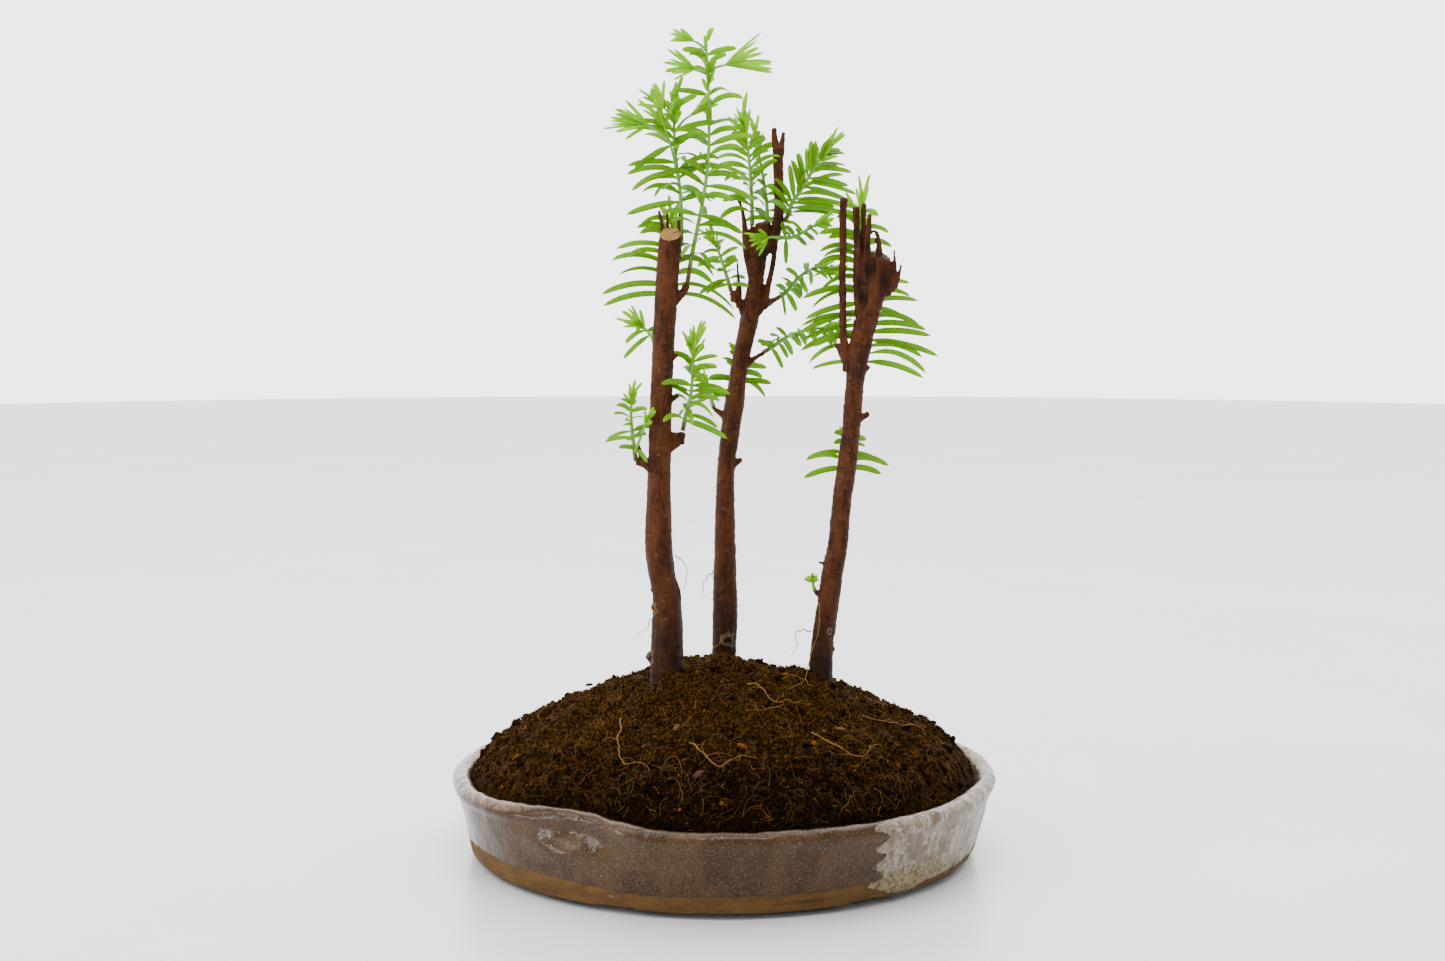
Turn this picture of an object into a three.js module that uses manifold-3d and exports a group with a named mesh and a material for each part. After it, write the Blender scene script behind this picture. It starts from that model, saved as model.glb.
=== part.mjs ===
// Three young conifers planted as a small forest in a shallow, hand-formed stoneware pot.
//
// Millimetres, +Z up. The origin is on the table, under the middle of the pot. -Y is the front.
// Each trunk is one piece with its stubs and dead twigs. Each shoot is one green stem with its leaves.
// Pieces that touch keep GAP between them.

import * as THREE from "three";
import { mergeVertices } from "three/addons/utils/BufferGeometryUtils.js";
import Module from "manifold-3d";

const wasm = await Module();
wasm.setup();

// ---------------------------------------------------------------------------
// Driving dimensions
// ---------------------------------------------------------------------------

const GAP = 0.3; // clearance between pieces that touch
const FINENESS = 0.1; // joined plants lose edges that matter less than this

// Pot
const RIM_RADIUS = 120; // outer edge of the rim
const RIM_HEIGHT = 36.5; // top of the rim above the table
const FLARE = 9; // how much the rim overhangs the base all round
const LIP_THICKNESS = 8; // the rounded lip, from outside to inside
const LIP_HEIGHT = 4; // height of the rounded part of the lip
const WALL = 6.5; // wall below the lip
const FLOOR = 7; // thickness of the floor
const BASE_ROUND = 2.5; // rounding where the wall turns under
const LIP_SWELL = 1.6; // how far the lip stands out from the wall just under it
const CORNER_ROUND = 12; // inside corner between wall and floor
const CORNER_HEIGHT = 7.2; // the inside corner starts this far above the floor
const POT_SIDES = 48;
const WALL_ROWS = 3; // rows of facets down the inside of the wall

// Dent in the rim at the front left, where the wall leans in and the rim rises
const DENT_ANGLE = THREE.MathUtils.degToRad(-121);
const DENT_SPREAD = THREE.MathUtils.degToRad(17);
const DENT_DEPTH = 7.5;
const DENT_RISE = 3;
const RIM_WAVE = 0.8; // unevenness of the rim elsewhere

// Feet: a ring under the base, cut into arcs
const FOOT_HEIGHT = 2;
const FOOT_WIDTH = 10;
const FOOT_INSET = 9; // from the outer edge of the base
const FOOT_COUNT = 4;
const FOOT_NOTCH = 34; // width of the gap between two feet

// Drainage
const DRAIN_RADIUS = 7;
const DRAIN_OFFSET = 45; // from the middle of the pot
const DRAIN_SIDES = 20;
const SCREEN_OVERLAP = 2; // how far a screen reaches past its hole
const SCREEN_BAR = 1.2;
const SCREEN_OPENINGS = 3; // openings along each side
const SCREEN_THICKNESS = 0.8;
const WIRE_DIAMETER = 1;
const WIRE_LEG = 9; // the bent leg under the floor

// Soil
const SOIL_GAP = 0.6; // the soil has shrunk this far from the pot's wall
const MOUND_RISE = 50; // top of the mound above the soil's edge
const MOUND_SLOPE = 1.5; // 1 is a cone, 2 is a dome
const MOUND_SHARE = 0.82; // the rest of the rise is the steep edge by the rim
const EDGE_STEEPNESS = 20; // a higher power keeps that edge closer to the rim
const EDGE_CALM = 0.12; // outer share of the radius over which the lumps fade out
const SOIL_BELOW_RIM = 2.6;
const SOIL_ROW = 12.4; // width of the rings of facets on the surface
const SOIL_LUMP = 1.6; // unevenness of the surface

// Plants
const TREE_HEIGHT = 355; // tip of the tallest shoot above the table
const ROOT_HEIGHT = 22; // buried end of the trunks above the table
const TRUNK_GIRTH = 1; // scales the thickness of all wood
const ROOT_LENGTH = 17;
const ROOT_COUNT = 3; // main roots of each trunk
const ROOT_ANGLE = THREE.MathUtils.degToRad(35); // direction of the first root
const ROOT_FALL = 11; // from where a root leaves the trunk down to its tip
const TRUNK_SIDES = 11;
const TRUNK_STEPS = 1.4; // rows of facets for each point of a trunk's list
const LIMB_SIDES = 5;
const LEAF_WIDTH = 2.1;
const LEAF_THICKNESS = 0.6;
const LEAF_LENGTH = 1; // scales the length of all leaves
const LEAF_BASE = 0.3; // width at the base as a share of the greatest
const STEM_RADIUS = 0.95; // green stem at its base
const STEM_TAPER = 0.5; // share of the radius lost by the tip
const TWIG_SHARE = 0.7; // radius of a side stem as a share of a main one
const STEM_ANCHOR = 2; // a stem starts this deep inside the wood, which then cuts it off
const STEM_SIDES = 4;
const LEAF_SIDES = 3;
const LEAF_TRIES = [0, 20, -20, 40, -40, 65, -65, 90]; // degrees a leaf turns to clear its neighbours

// Loose pieces on the soil
const FIBRE_RADIUS = 0.4;
const CHIP_THICKNESS = 1.2;
const CHIP_WIDTH = 0.64; // as a share of its length
const LOOSE_LIFT = 1.7; // loose pieces lie this far above the even surface, on its crumbs

const UP = new THREE.Vector3(0, 0, 1);
const ACROSS = new THREE.Vector3(1, 0, 0);
const DRAWN_HEIGHT = 355; // height for which the heights in the plant lists below are given

const { clamp, degToRad, lerp, smoothstep } = THREE.MathUtils;

// ---------------------------------------------------------------------------
// Solids
// ---------------------------------------------------------------------------

/** A closed three.js geometry as a solid that can be joined and cut. */
function solidFrom(geometry) {
  const bare = geometry.clone();
  bare.deleteAttribute("normal");
  bare.deleteAttribute("uv");
  const merged = mergeVertices(bare, 1e-4);
  const triVerts = [];
  for (let i = 0; i < merged.index.count; i += 3) {
    const [a, b, c] = [0, 1, 2].map((k) => merged.index.getX(i + k));
    const hasArea = a !== b && b !== c && c !== a;
    if (hasArea) triVerts.push(a, b, c);
  }
  return new wasm.Manifold(
    new wasm.Mesh({
      numProp: 3,
      vertProperties: new Float32Array(merged.attributes.position.array),
      triVerts: new Uint32Array(triVerts),
    }),
  );
}

function join(solids) {
  return solids.reduce((whole, next) => whole.add(next));
}

/** A solid without the closed bubbles that crossing leaves and twigs shut in. */
function withoutBubbles(solid) {
  return solid.decompose().reduce((outer, shell) => (shell.volume() > outer.volume() ? shell : outer));
}

/** A named mesh made from a solid. */
function pieceFrom(name, solid, material) {
  const { vertProperties, triVerts } = withoutBubbles(solid).getMesh();
  const geometry = new THREE.BufferGeometry();
  geometry.setAttribute("position", new THREE.BufferAttribute(vertProperties, 3));
  geometry.setIndex(new THREE.BufferAttribute(triVerts, 1));
  geometry.computeVertexNormals();
  const mesh = new THREE.Mesh(geometry, material);
  mesh.name = name;
  return mesh;
}

function boxSolid(width, depth, height, x, y, z) {
  return solidFrom(new THREE.BoxGeometry(width, depth, height).translate(x, y, z));
}

/** A solid of revolution about Z from a profile of (radius, height) points. */
function turnedSolid(profile, sides, reshape = (point) => point) {
  const geometry = new THREE.LatheGeometry(profile, sides).rotateX(Math.PI / 2);
  movePoints(geometry, reshape);
  return solidFrom(geometry);
}

function movePoints(geometry, move) {
  const position = geometry.attributes.position;
  const point = new THREE.Vector3();
  for (let i = 0; i < position.count; i += 1) {
    move(point.fromBufferAttribute(position, i));
    position.setXYZ(i, point.x, point.y, point.z);
  }
}

/**
 * A closed bar along a curve. halfSizes(t) gives its half width and half thickness from
 * 0 at the start to 1 at the end. widthAxis fixes the direction of the width.
 */
function barSolid(curve, halfSizes, sides, steps, widthAxis = null) {
  const geometry = new THREE.CylinderGeometry(1, 1, 1, sides, steps);
  const frames = curve.computeFrenetFrames(steps, false);
  movePoints(geometry, (point) => {
    const row = Math.round((point.y + 0.5) * steps);
    const t = row / steps;
    const wide = widthAxis ?? frames.normals[row];
    const thick = new THREE.Vector3().crossVectors(wide, frames.tangents[row]).normalize();
    const [halfWidth, halfThickness] = halfSizes(t);
    const [u, v] = [point.x * halfWidth, point.z * halfThickness];
    point.copy(curve.getPointAt(t)).addScaledVector(wide, u).addScaledVector(thick, v);
  });
  return solidFrom(geometry);
}

/** Repeatable pseudo-random number from 0 to 1 for a seed. */
function chance(seed) {
  const wave = Math.sin(seed * 12.9898) * 43758.5453;
  return wave - Math.floor(wave);
}

// ---------------------------------------------------------------------------
// Materials
// ---------------------------------------------------------------------------

function matter(color, roughness) {
  return new THREE.MeshStandardMaterial({ color, roughness, metalness: 0 });
}

const GLAZED_STONEWARE = matter("#6f6155", 0.35);
const SOIL = matter("#4a300f", 1);
const BARK = matter("#4e2f1f", 0.9);
const LEAF = matter("#5d9a12", 0.5);
const COIR = matter("#a8752a", 0.9);
const BLACK_PLASTIC = matter("#1c1c1c", 0.6);
const WIRE = new THREE.MeshStandardMaterial({ color: "#8a7a6a", roughness: 0.5, metalness: 1 });

// ---------------------------------------------------------------------------
// Pot
// ---------------------------------------------------------------------------

/** Presses the dent and the unevenness of hand work into a round shape; the base stays true. */
function handFormed(point) {
  const angle = Math.atan2(point.y, point.x);
  const radius = Math.hypot(point.x, point.y);
  const height = smoothstep(point.z, FLOOR, RIM_HEIGHT);
  const dent = Math.exp(-(((angle - DENT_ANGLE) / DENT_SPREAD) ** 2));
  const wave = Math.sin(3 * angle + 1) * 0.6 + Math.sin(5 * angle) * 0.4;
  const shift = height * (RIM_WAVE * wave - DENT_DEPTH * dent);
  point.x += Math.cos(angle) * shift * Math.sign(radius);
  point.y += Math.sin(angle) * shift * Math.sign(radius);
  point.z += height ** 2 * DENT_RISE * dent;
  return point;
}

const FLOOR_TOP = FOOT_HEIGHT + FLOOR;
const BASE_RADIUS = RIM_RADIUS - FLARE;
const MOUTH_RADIUS = RIM_RADIUS - LIP_THICKNESS;
const LIP_FOOT = RIM_HEIGHT - LIP_HEIGHT; // height where the lip's rounding starts

/** Continues a path down the inside of the wall and over the floor, clear of both by gap. */
function followInside(path, gap) {
  const wallTop = MOUTH_RADIUS - gap;
  const wallFoot = BASE_RADIUS - WALL - gap;
  const floor = FLOOR_TOP + gap;
  const cornerTop = FLOOR_TOP + CORNER_HEIGHT;
  for (let row = 0; row <= WALL_ROWS; row += 1) {
    const share = row / WALL_ROWS;
    path.lineTo(lerp(wallTop, wallFoot, share), lerp(LIP_FOOT, cornerTop, share));
  }
  path.quadraticCurveTo(wallFoot - CORNER_ROUND / 6, floor, wallFoot - CORNER_ROUND, floor);
  path.lineTo(0, floor);
}

function potProfile() {
  const path = new THREE.Path();
  const lip = LIP_THICKNESS / 2;
  path.moveTo(0, FOOT_HEIGHT);
  path.lineTo(BASE_RADIUS - BASE_ROUND, FOOT_HEIGHT);
  path.quadraticCurveTo(BASE_RADIUS, FOOT_HEIGHT, BASE_RADIUS + FLARE / 20, FOOT_HEIGHT + BASE_ROUND);
  const wallTop = LIP_FOOT - 2 * LIP_SWELL;
  path.quadraticCurveTo(BASE_RADIUS + FLARE / 3, LIP_FOOT / 2, RIM_RADIUS - LIP_SWELL, wallTop);
  path.lineTo(RIM_RADIUS, LIP_FOOT);
  path.absellipse(RIM_RADIUS - lip, LIP_FOOT, lip, LIP_HEIGHT, 0, Math.PI, false);
  followInside(path, 0);
  return path.getPoints(2);
}

/** The four low feet: a ring with square notches. */
function footRing() {
  const outer = BASE_RADIUS - FOOT_INSET;
  const inner = outer - FOOT_WIDTH;
  const top = FOOT_HEIGHT + FLOOR / 2;
  const corners = [[inner, 0], [outer, 0], [outer, top], [inner, top], [inner, 0]];
  const ring = turnedSolid(corners.map(([r, z]) => new THREE.Vector2(r, z)), POT_SIDES);
  const notch = new THREE.BoxGeometry(2 * outer + 1, FOOT_NOTCH, 2 * top + 1);
  const notches = [];
  for (let i = 0; i < FOOT_COUNT / 2; i += 1) {
    notches.push(solidFrom(notch.clone().rotateZ((2 * Math.PI * i) / FOOT_COUNT)));
  }
  return notches.reduce((feet, cut) => feet.subtract(cut), ring);
}

function drainHole(side) {
  const hole = new THREE.CylinderGeometry(DRAIN_RADIUS, DRAIN_RADIUS, 4 * FLOOR, DRAIN_SIDES);
  return solidFrom(hole.rotateX(Math.PI / 2).translate(side * DRAIN_OFFSET, 0, 0));
}

function potSolid() {
  const bowl = turnedSolid(potProfile(), POT_SIDES, handFormed);
  return bowl.add(footRing()).subtract(drainHole(-1)).subtract(drainHole(1));
}

// ---------------------------------------------------------------------------
// Drainage screens and their wire clips
// ---------------------------------------------------------------------------

const SCREEN_WIDTH = 2 * (DRAIN_RADIUS + SCREEN_OVERLAP);
const SCREEN_OPENING = (SCREEN_WIDTH - (SCREEN_OPENINGS + 1) * SCREEN_BAR) / SCREEN_OPENINGS;
const SCREEN_PITCH = SCREEN_OPENING + SCREEN_BAR;
const SCREEN_BOTTOM = FLOOR_TOP + GAP;

function screenSolid(side) {
  const [x, z] = [side * DRAIN_OFFSET, SCREEN_BOTTOM + SCREEN_THICKNESS / 2];
  let plate = boxSolid(SCREEN_WIDTH, SCREEN_WIDTH, SCREEN_THICKNESS, x, 0, z);
  const middle = (SCREEN_OPENINGS - 1) / 2;
  for (let row = 0; row < SCREEN_OPENINGS; row += 1) {
    for (let column = 0; column < SCREEN_OPENINGS; column += 1) {
      const [dx, dy] = [(column - middle) * SCREEN_PITCH, (row - middle) * SCREEN_PITCH];
      plate = plate.subtract(boxSolid(SCREEN_OPENING, SCREEN_OPENING, 2 * SCREEN_THICKNESS, x + dx, dy, z));
    }
  }
  return plate;
}

/** A staple over the middle bars of a screen, down through the hole and bent out under the floor. */
function clipSolid(side) {
  const radius = WIRE_DIAMETER / 2;
  const over = SCREEN_BOTTOM + SCREEN_THICKNESS + GAP + radius;
  const under = FOOT_HEIGHT - GAP - radius;
  const bend = WIRE_DIAMETER;
  const half = [
    [SCREEN_PITCH + WIRE_LEG, under],
    [SCREEN_PITCH + bend, under],
    [SCREEN_PITCH, under + bend],
    [SCREEN_PITCH, over - bend],
    [SCREEN_PITCH - bend, over],
  ];
  const mirrored = half.map(([x, z]) => [-x, z]).reverse();
  const points = [...half, ...mirrored].map(([x, z]) => new THREE.Vector3(side * DRAIN_OFFSET + x, 0, z));
  const curve = new THREE.CatmullRomCurve3(points, false, "catmullrom", 0.1);
  return barSolid(curve, () => [radius, radius], 6, 18, new THREE.Vector3(0, 1, 0));
}

/** Room in the soil for a screen and the bridge of its clip. */
function screenPocket(side) {
  const width = SCREEN_WIDTH + 2 * GAP;
  const top = SCREEN_BOTTOM + SCREEN_THICKNESS + WIRE_DIAMETER + 3 * GAP;
  return boxSolid(width, width, 2 * (top - FLOOR_TOP), side * DRAIN_OFFSET, 0, FLOOR_TOP);
}

// ---------------------------------------------------------------------------
// Soil
// ---------------------------------------------------------------------------

const SOIL_RADIUS = MOUTH_RADIUS - SOIL_GAP;
const SOIL_EDGE = RIM_HEIGHT - SOIL_BELOW_RIM;

function soilLumps(x, y) {
  const broad = Math.sin(x * 0.11 + 0.6) * Math.cos(y * 0.13 + 0.4);
  const fine = Math.sin(x * 0.31 + y * 0.19) * Math.cos(y * 0.27 - x * 0.16 + 2);
  return SOIL_LUMP * (broad + 0.8 * fine);
}

/** Height of the soil's surface above the table. */
function soilHeight(x, y) {
  const reach = Math.min(Math.hypot(x, y) / SOIL_RADIUS, 1);
  const slope = MOUND_SHARE * reach ** MOUND_SLOPE + (1 - MOUND_SHARE) * reach ** EDGE_STEEPNESS;
  const settled = smoothstep(1 - reach, 0, EDGE_CALM);
  return SOIL_EDGE + MOUND_RISE * (1 - slope) + soilLumps(x, y) * settled;
}

function soilProfile() {
  const rings = Math.round(SOIL_RADIUS / SOIL_ROW);
  const inside = new THREE.Path();
  inside.moveTo(SOIL_RADIUS, SOIL_EDGE);
  followInside(inside, SOIL_GAP);
  const below = inside.getPoints(2).reverse();
  const above = [];
  for (let ring = rings - 1; ring >= 0; ring -= 1) {
    above.push(new THREE.Vector2((SOIL_RADIUS * ring) / rings, RIM_HEIGHT + MOUND_RISE));
  }
  return [...below, ...above];
}

/** Drops the surface points onto the mound and presses the sides into the shape of the pot. */
function heaped(point) {
  if (point.z > RIM_HEIGHT) {
    point.z = soilHeight(point.x, point.y);
    return point;
  }
  return handFormed(point);
}

// ---------------------------------------------------------------------------
// Trunks: each limb is a list of [x, y, z, radius] along its middle
// ---------------------------------------------------------------------------

const TRUNKS = {
  trunk_left: {
    // the cut faces the front, 30 degrees from level
    cut: { at: [-21.8, -22, 270.5], normal: [0, -0.5, 0.87] },
    limbs: [
      [
        [-24, -22, 22, 6], [-24, -22, 60, 7.2], [-24, -22, 90, 7.1], [-24.1, -22, 114, 6.1],
        [-25.5, -22, 122, 5.8], [-27.2, -22, 134, 6], [-27.6, -22, 142, 5.7], [-27.2, -22, 166, 5.1],
        [-26.7, -22, 188, 4.8], [-25.9, -22, 210, 4.7], [-24.8, -22, 232, 4.75], [-23.1, -22, 257, 4.9],
        [-21.5, -22, 278, 4.6],
      ],
      [[-24, -22, 240, 3], [-19.4, -22, 243.4, 2], [-15.8, -22, 247, 1.6], [-15, -22, 249.2, 1.5]],
      [[-22.8, -22, 180, 2.6], [-20, -22, 181.5, 2], [-17.8, -22, 183.5, 1.7], [-17, -22, 186, 1.5]],
      [[-20.8, -22, 181, 1.3], [-20.3, -22, 186, 1.5]],
      [[-29.5, -22, 171, 3.2], [-34, -22, 173.2, 2.5], [-37, -22, 173.4, 1.6]],
      [[-34.3, -22, 173.5, 1.6], [-35.6, -22, 178.5, 1.1], [-36.5, -22, 181.5, 1]],
      [[-24, -22, 199, 1.8], [-19, -22, 202, 0.7]],
      [[-24, -22, 216.5, 1.8], [-19.2, -22, 219.4, 0.9]],
      [[-25, -19, 260, 1.7], [-25.8, -17.2, 274, 1], [-27.2, -16.5, 280.5, 0.8]],
      [[-19.5, -19, 260, 2], [-18.9, -17.4, 274, 1.3], [-18.2, -16.5, 280, 0.7]],
      [[-22.6, -19, 262, 1.6], [-23.4, -17.2, 275.5, 0.9], [-23.6, -16.8, 280, 0.5]],
      [[-28, -23, 87, 2.8], [-32.6, -24, 90, 1.7]],
      [[-25.5, -24, 110, 2.8], [-30.2, -25.5, 111.5, 1.5]],
      [[-27, -22, 117.4, 1.8], [-31.2, -22, 118.2, 0.8]],
      [[-20.9, -23, 123, 1.2], [-18.9, -23, 117, 1.1], [-18.1, -23, 111.3, 0.6]],
    ],
  },
  trunk_middle: {
    cut: { at: [18.4, 25, 277], normal: [-0.12, -0.2, 0.97] },
    limbs: [
      [
        [0.7, 25, 22, 5], [0.7, 25, 82, 5.6], [1.3, 25, 106.5, 5.6], [1.2, 25, 125, 5.1],
        [1.1, 25, 137, 4.9], [1.3, 25, 162, 4.2], [3.6, 25, 185, 4.3], [5.4, 25, 197, 4.3],
        [7, 25, 208, 3.9], [9, 25, 219.6, 3.9], [11.4, 25, 231, 4.1], [13.5, 25, 242, 4],
        [15.2, 25, 253, 3.6], [16.8, 25, 265, 3.8], [18.6, 25, 282, 3.2],
      ],
      [
        [15.5, 25, 261, 3.2], [20.5, 25, 267, 2.9], [24, 25, 273.5, 2.5], [25.2, 25, 281, 2.4],
        [25.2, 25, 293, 2.3], [24.9, 25, 304, 2.4], [25, 25, 310, 2.5],
      ],
      [[24.5, 25, 307, 1.9], [23.2, 25, 314, 1.3], [22.9, 25, 318.5, 0.9]],
      [[25.8, 25, 307, 1.8], [26.8, 25, 313, 1.1], [27.3, 25, 316.8, 0.9]],
      [
        [14, 25, 236, 2.6], [18.6, 25, 241.5, 1.9], [20.4, 25, 249.2, 1.6], [22.6, 25, 259.4, 1.5],
        [23.8, 25, 270, 1.5],
      ],
      [
        [14.5, 25, 252, 3.2], [11.5, 25, 265, 2.6], [10.2, 25, 272.5, 1.9], [8.7, 25, 282.5, 1.2],
        [5.2, 25, 292.6, 0.8],
      ],
      [[12, 25, 265, 1.5], [13.2, 25, 275.5, 1]],
      [[12, 25, 234, 3], [6.8, 25, 242.4, 2.1], [4, 25, 246, 1.4]],
      [[7, 25, 243, 1.9], [7.3, 25, 248.5, 1.5], [6.9, 25, 255, 0.8], [6.5, 25, 261, 0.6]],
      [[18.5, 25, 239.8, 2], [21.5, 25, 241.8, 1.5], [23.9, 25, 242.9, 0.8]],
      [[9, 25, 212.5, 2.2], [14.5, 25, 216.4, 1.2], [18.5, 25, 219, 0.8]],
      [[5, 25, 187, 2.6], [-0.5, 25, 191.3, 1.5], [-3.8, 25, 193.5, 0.9]],
      [[3, 25, 167.5, 2.6], [8.6, 25, 170.8, 1.2]],
    ],
  },
  trunk_right: {
    limbs: [
      [
        [43.2, -12, 22, 4.6], [43.2, -12, 76.8, 5.3], [43.3, -12, 88, 5.2], [44.2, -12, 97.6, 4.9],
        [46.2, -12, 112, 4.75], [48, -12, 125, 4.7], [50.2, -12, 137, 4.3], [51.8, -12, 155, 4.2],
        [53.8, -12, 170, 4.4], [55.5, -12, 184, 4.2], [57.4, -12, 208, 4], [58.5, -12, 217, 4.5],
        [60.1, -12, 226, 4.8], [63.6, -12, 240, 5], [67, -12, 251, 5.3], [67.8, -12, 259, 4.7],
        [67.6, -12, 265.5, 3.8],
      ],
      [[60, -12, 236, 3], [58.6, -12, 256, 2.9], [57.7, -12, 268, 2.5], [57.3, -12, 282, 1.7]],
      [[61, -11, 242, 2.8], [60.7, -10, 268, 2.2], [60.8, -10, 283.5, 1.2]],
      [[61.5, -13, 250, 2.4], [62.4, -13, 270, 2.1], [63.3, -13, 279.5, 1.3]],
      [[67.4, -12, 262, 1.2], [67, -12, 269, 0.7], [65.4, -12, 272, 0.6], [62.6, -12, 271, 0.9]],
      [[62, -12, 236.5, 2.6], [67, -13, 238.8, 1.7]],
      [[68, -12, 247, 2.6], [73.6, -12, 248, 1.6], [75.4, -12, 252, 1.2], [76.8, -12, 257.5, 0.5]],
      [[70.5, -12, 246, 2.6], [74, -12.5, 255, 1.5], [73.4, -13, 264, 0.9]],
      [
        [57.5, -12, 212, 3.4], [53.4, -12, 219, 2.4], [52.3, -12, 226, 1.6], [51.7, -12, 247, 1.35],
        [51.6, -12, 262, 1.3], [51.7, -12, 275, 1.35], [52.2, -12, 285.8, 1.2],
      ],
      [[53.5, -12, 216, 1.9], [49, -12, 223.6, 0.9]],
      [[57, -12, 189.5, 2], [63.2, -12, 193.8, 1.1]],
      [[58.5, -12, 210.5, 2.2], [63.6, -12, 214.2, 0.8]],
      [[46.5, -12, 127.6, 1.3], [41.8, -12, 128.8, 0.4]],
      [[44.5, -12, 113.4, 2], [40.2, -12, 116, 1.1]],
      [[45.5, -12, 89.6, 1.8], [49.2, -12, 90.8, 0.9]],
    ],
  },
};

/** Heights in the lists are drawn for DRAWN_HEIGHT; the plants stretch above their buried ends. */
function grownHeight(z) {
  return ROOT_HEIGHT + ((z - ROOT_HEIGHT) * (TREE_HEIGHT - ROOT_HEIGHT)) / (DRAWN_HEIGHT - ROOT_HEIGHT);
}

function curveThrough(points) {
  const places = points.map(([x, y, z]) => new THREE.Vector3(x, y, grownHeight(z)));
  return new THREE.CatmullRomCurve3(places, false, "centripetal");
}

/** Value of a list's last column at height-like position t along the curve through the list. */
function columnAlong(points, curve) {
  const lengths = curve.getLengths(20 * (points.length - 1));
  const total = lengths[lengths.length - 1];
  const stations = points.map((_, i) => lengths[20 * i] / total);
  return (t) => {
    const next = clamp(stations.findIndex((s) => s >= t), 1, points.length - 1);
    const share = clamp((t - stations[next - 1]) / (stations[next] - stations[next - 1]), 0, 1);
    return lerp(points[next - 1][3], points[next][3], share);
  };
}

/** A limb of wood. extra makes it fatter and longer all round, to cut room for it. */
function limbSolid(points, extra, sides = LIMB_SIDES, steps = points.length - 1) {
  const curve = curveThrough(points);
  const radiusAt = columnAlong(points, curve);
  const size = (t) => Array(2).fill(radiusAt(t) * TRUNK_GIRTH + extra);
  return barSolid(extended(curve, extra), size, sides, steps);
}

/** A curve with its ends drawn out by the same amount. */
function extended(curve, amount) {
  if (amount === 0) return curve;
  const last = 12;
  const points = curve.getSpacedPoints(last);
  points[0].addScaledVector(curve.getTangentAt(0), -amount);
  points[last].addScaledVector(curve.getTangentAt(1), amount);
  return new THREE.CatmullRomCurve3(points, false, "centripetal");
}

/** Main roots, spread evenly from the buried end and a little downwards. */
function rootLimbs([x, y, z, radius]) {
  const roots = [];
  const top = z + ROOT_FALL * 0.8;
  for (let i = 0; i < ROOT_COUNT; i += 1) {
    const angle = ROOT_ANGLE + (2 * Math.PI * i) / ROOT_COUNT;
    const [dx, dy] = [Math.cos(angle) * ROOT_LENGTH, Math.sin(angle) * ROOT_LENGTH];
    roots.push([
      [x, y, top, radius * 0.5],
      [x + dx * 0.5, y + dy * 0.5, top - ROOT_FALL * 0.35, radius * 0.4],
      [x + dx, y + dy, top - ROOT_FALL, radius * 0.2],
    ]);
  }
  return roots;
}

/** Everything above a slanted cut through the top of a trunk. */
function aboveCut({ at: [x, y, z], normal }, girth, extra) {
  const height = 40;
  const facing = new THREE.Quaternion().setFromUnitVectors(UP, new THREE.Vector3(...normal).normalize());
  const block = new THREE.CylinderGeometry(girth, girth, height, 8).rotateX(Math.PI / 2);
  block.translate(0, 0, height / 2 + extra).applyQuaternion(facing);
  return solidFrom(block.translate(x, y, grownHeight(z)));
}

function trunkSolid({ limbs, cut }, extra = 0) {
  const [main, ...rest] = limbs;
  let stem = limbSolid(main, extra, TRUNK_SIDES, Math.round(TRUNK_STEPS * main.length));
  const topRadius = main[main.length - 1][3];
  if (cut) stem = stem.subtract(aboveCut(cut, 1.4 * topRadius * TRUNK_GIRTH, extra));
  const others = [...rest, ...rootLimbs(main[0])].map((limb) => limbSolid(limb, extra));
  return join([stem, ...others]).simplify(FINENESS);
}

// ---------------------------------------------------------------------------
// Shoots
//
// line: the stem's points. pairs: pairs of leaves between shares first and last of the stem.
// length: leaf length at the stem's base. turn: degrees from one pair to the next, from roll.
// spread: degrees between leaf and stem, at the base and at the tip. tuft: leaves at the tip.
// twigs: side stems, which leave their parent at the share "at" of its length.
// ---------------------------------------------------------------------------

const PLAIN = {
  pairs: 0, first: 0.12, last: 0.95, length: 18, turn: 85, roll: 0,
  spread: [75, 50], droop: 0.32, tuft: 3, tuftLength: 8, twigs: [],
};

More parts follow.
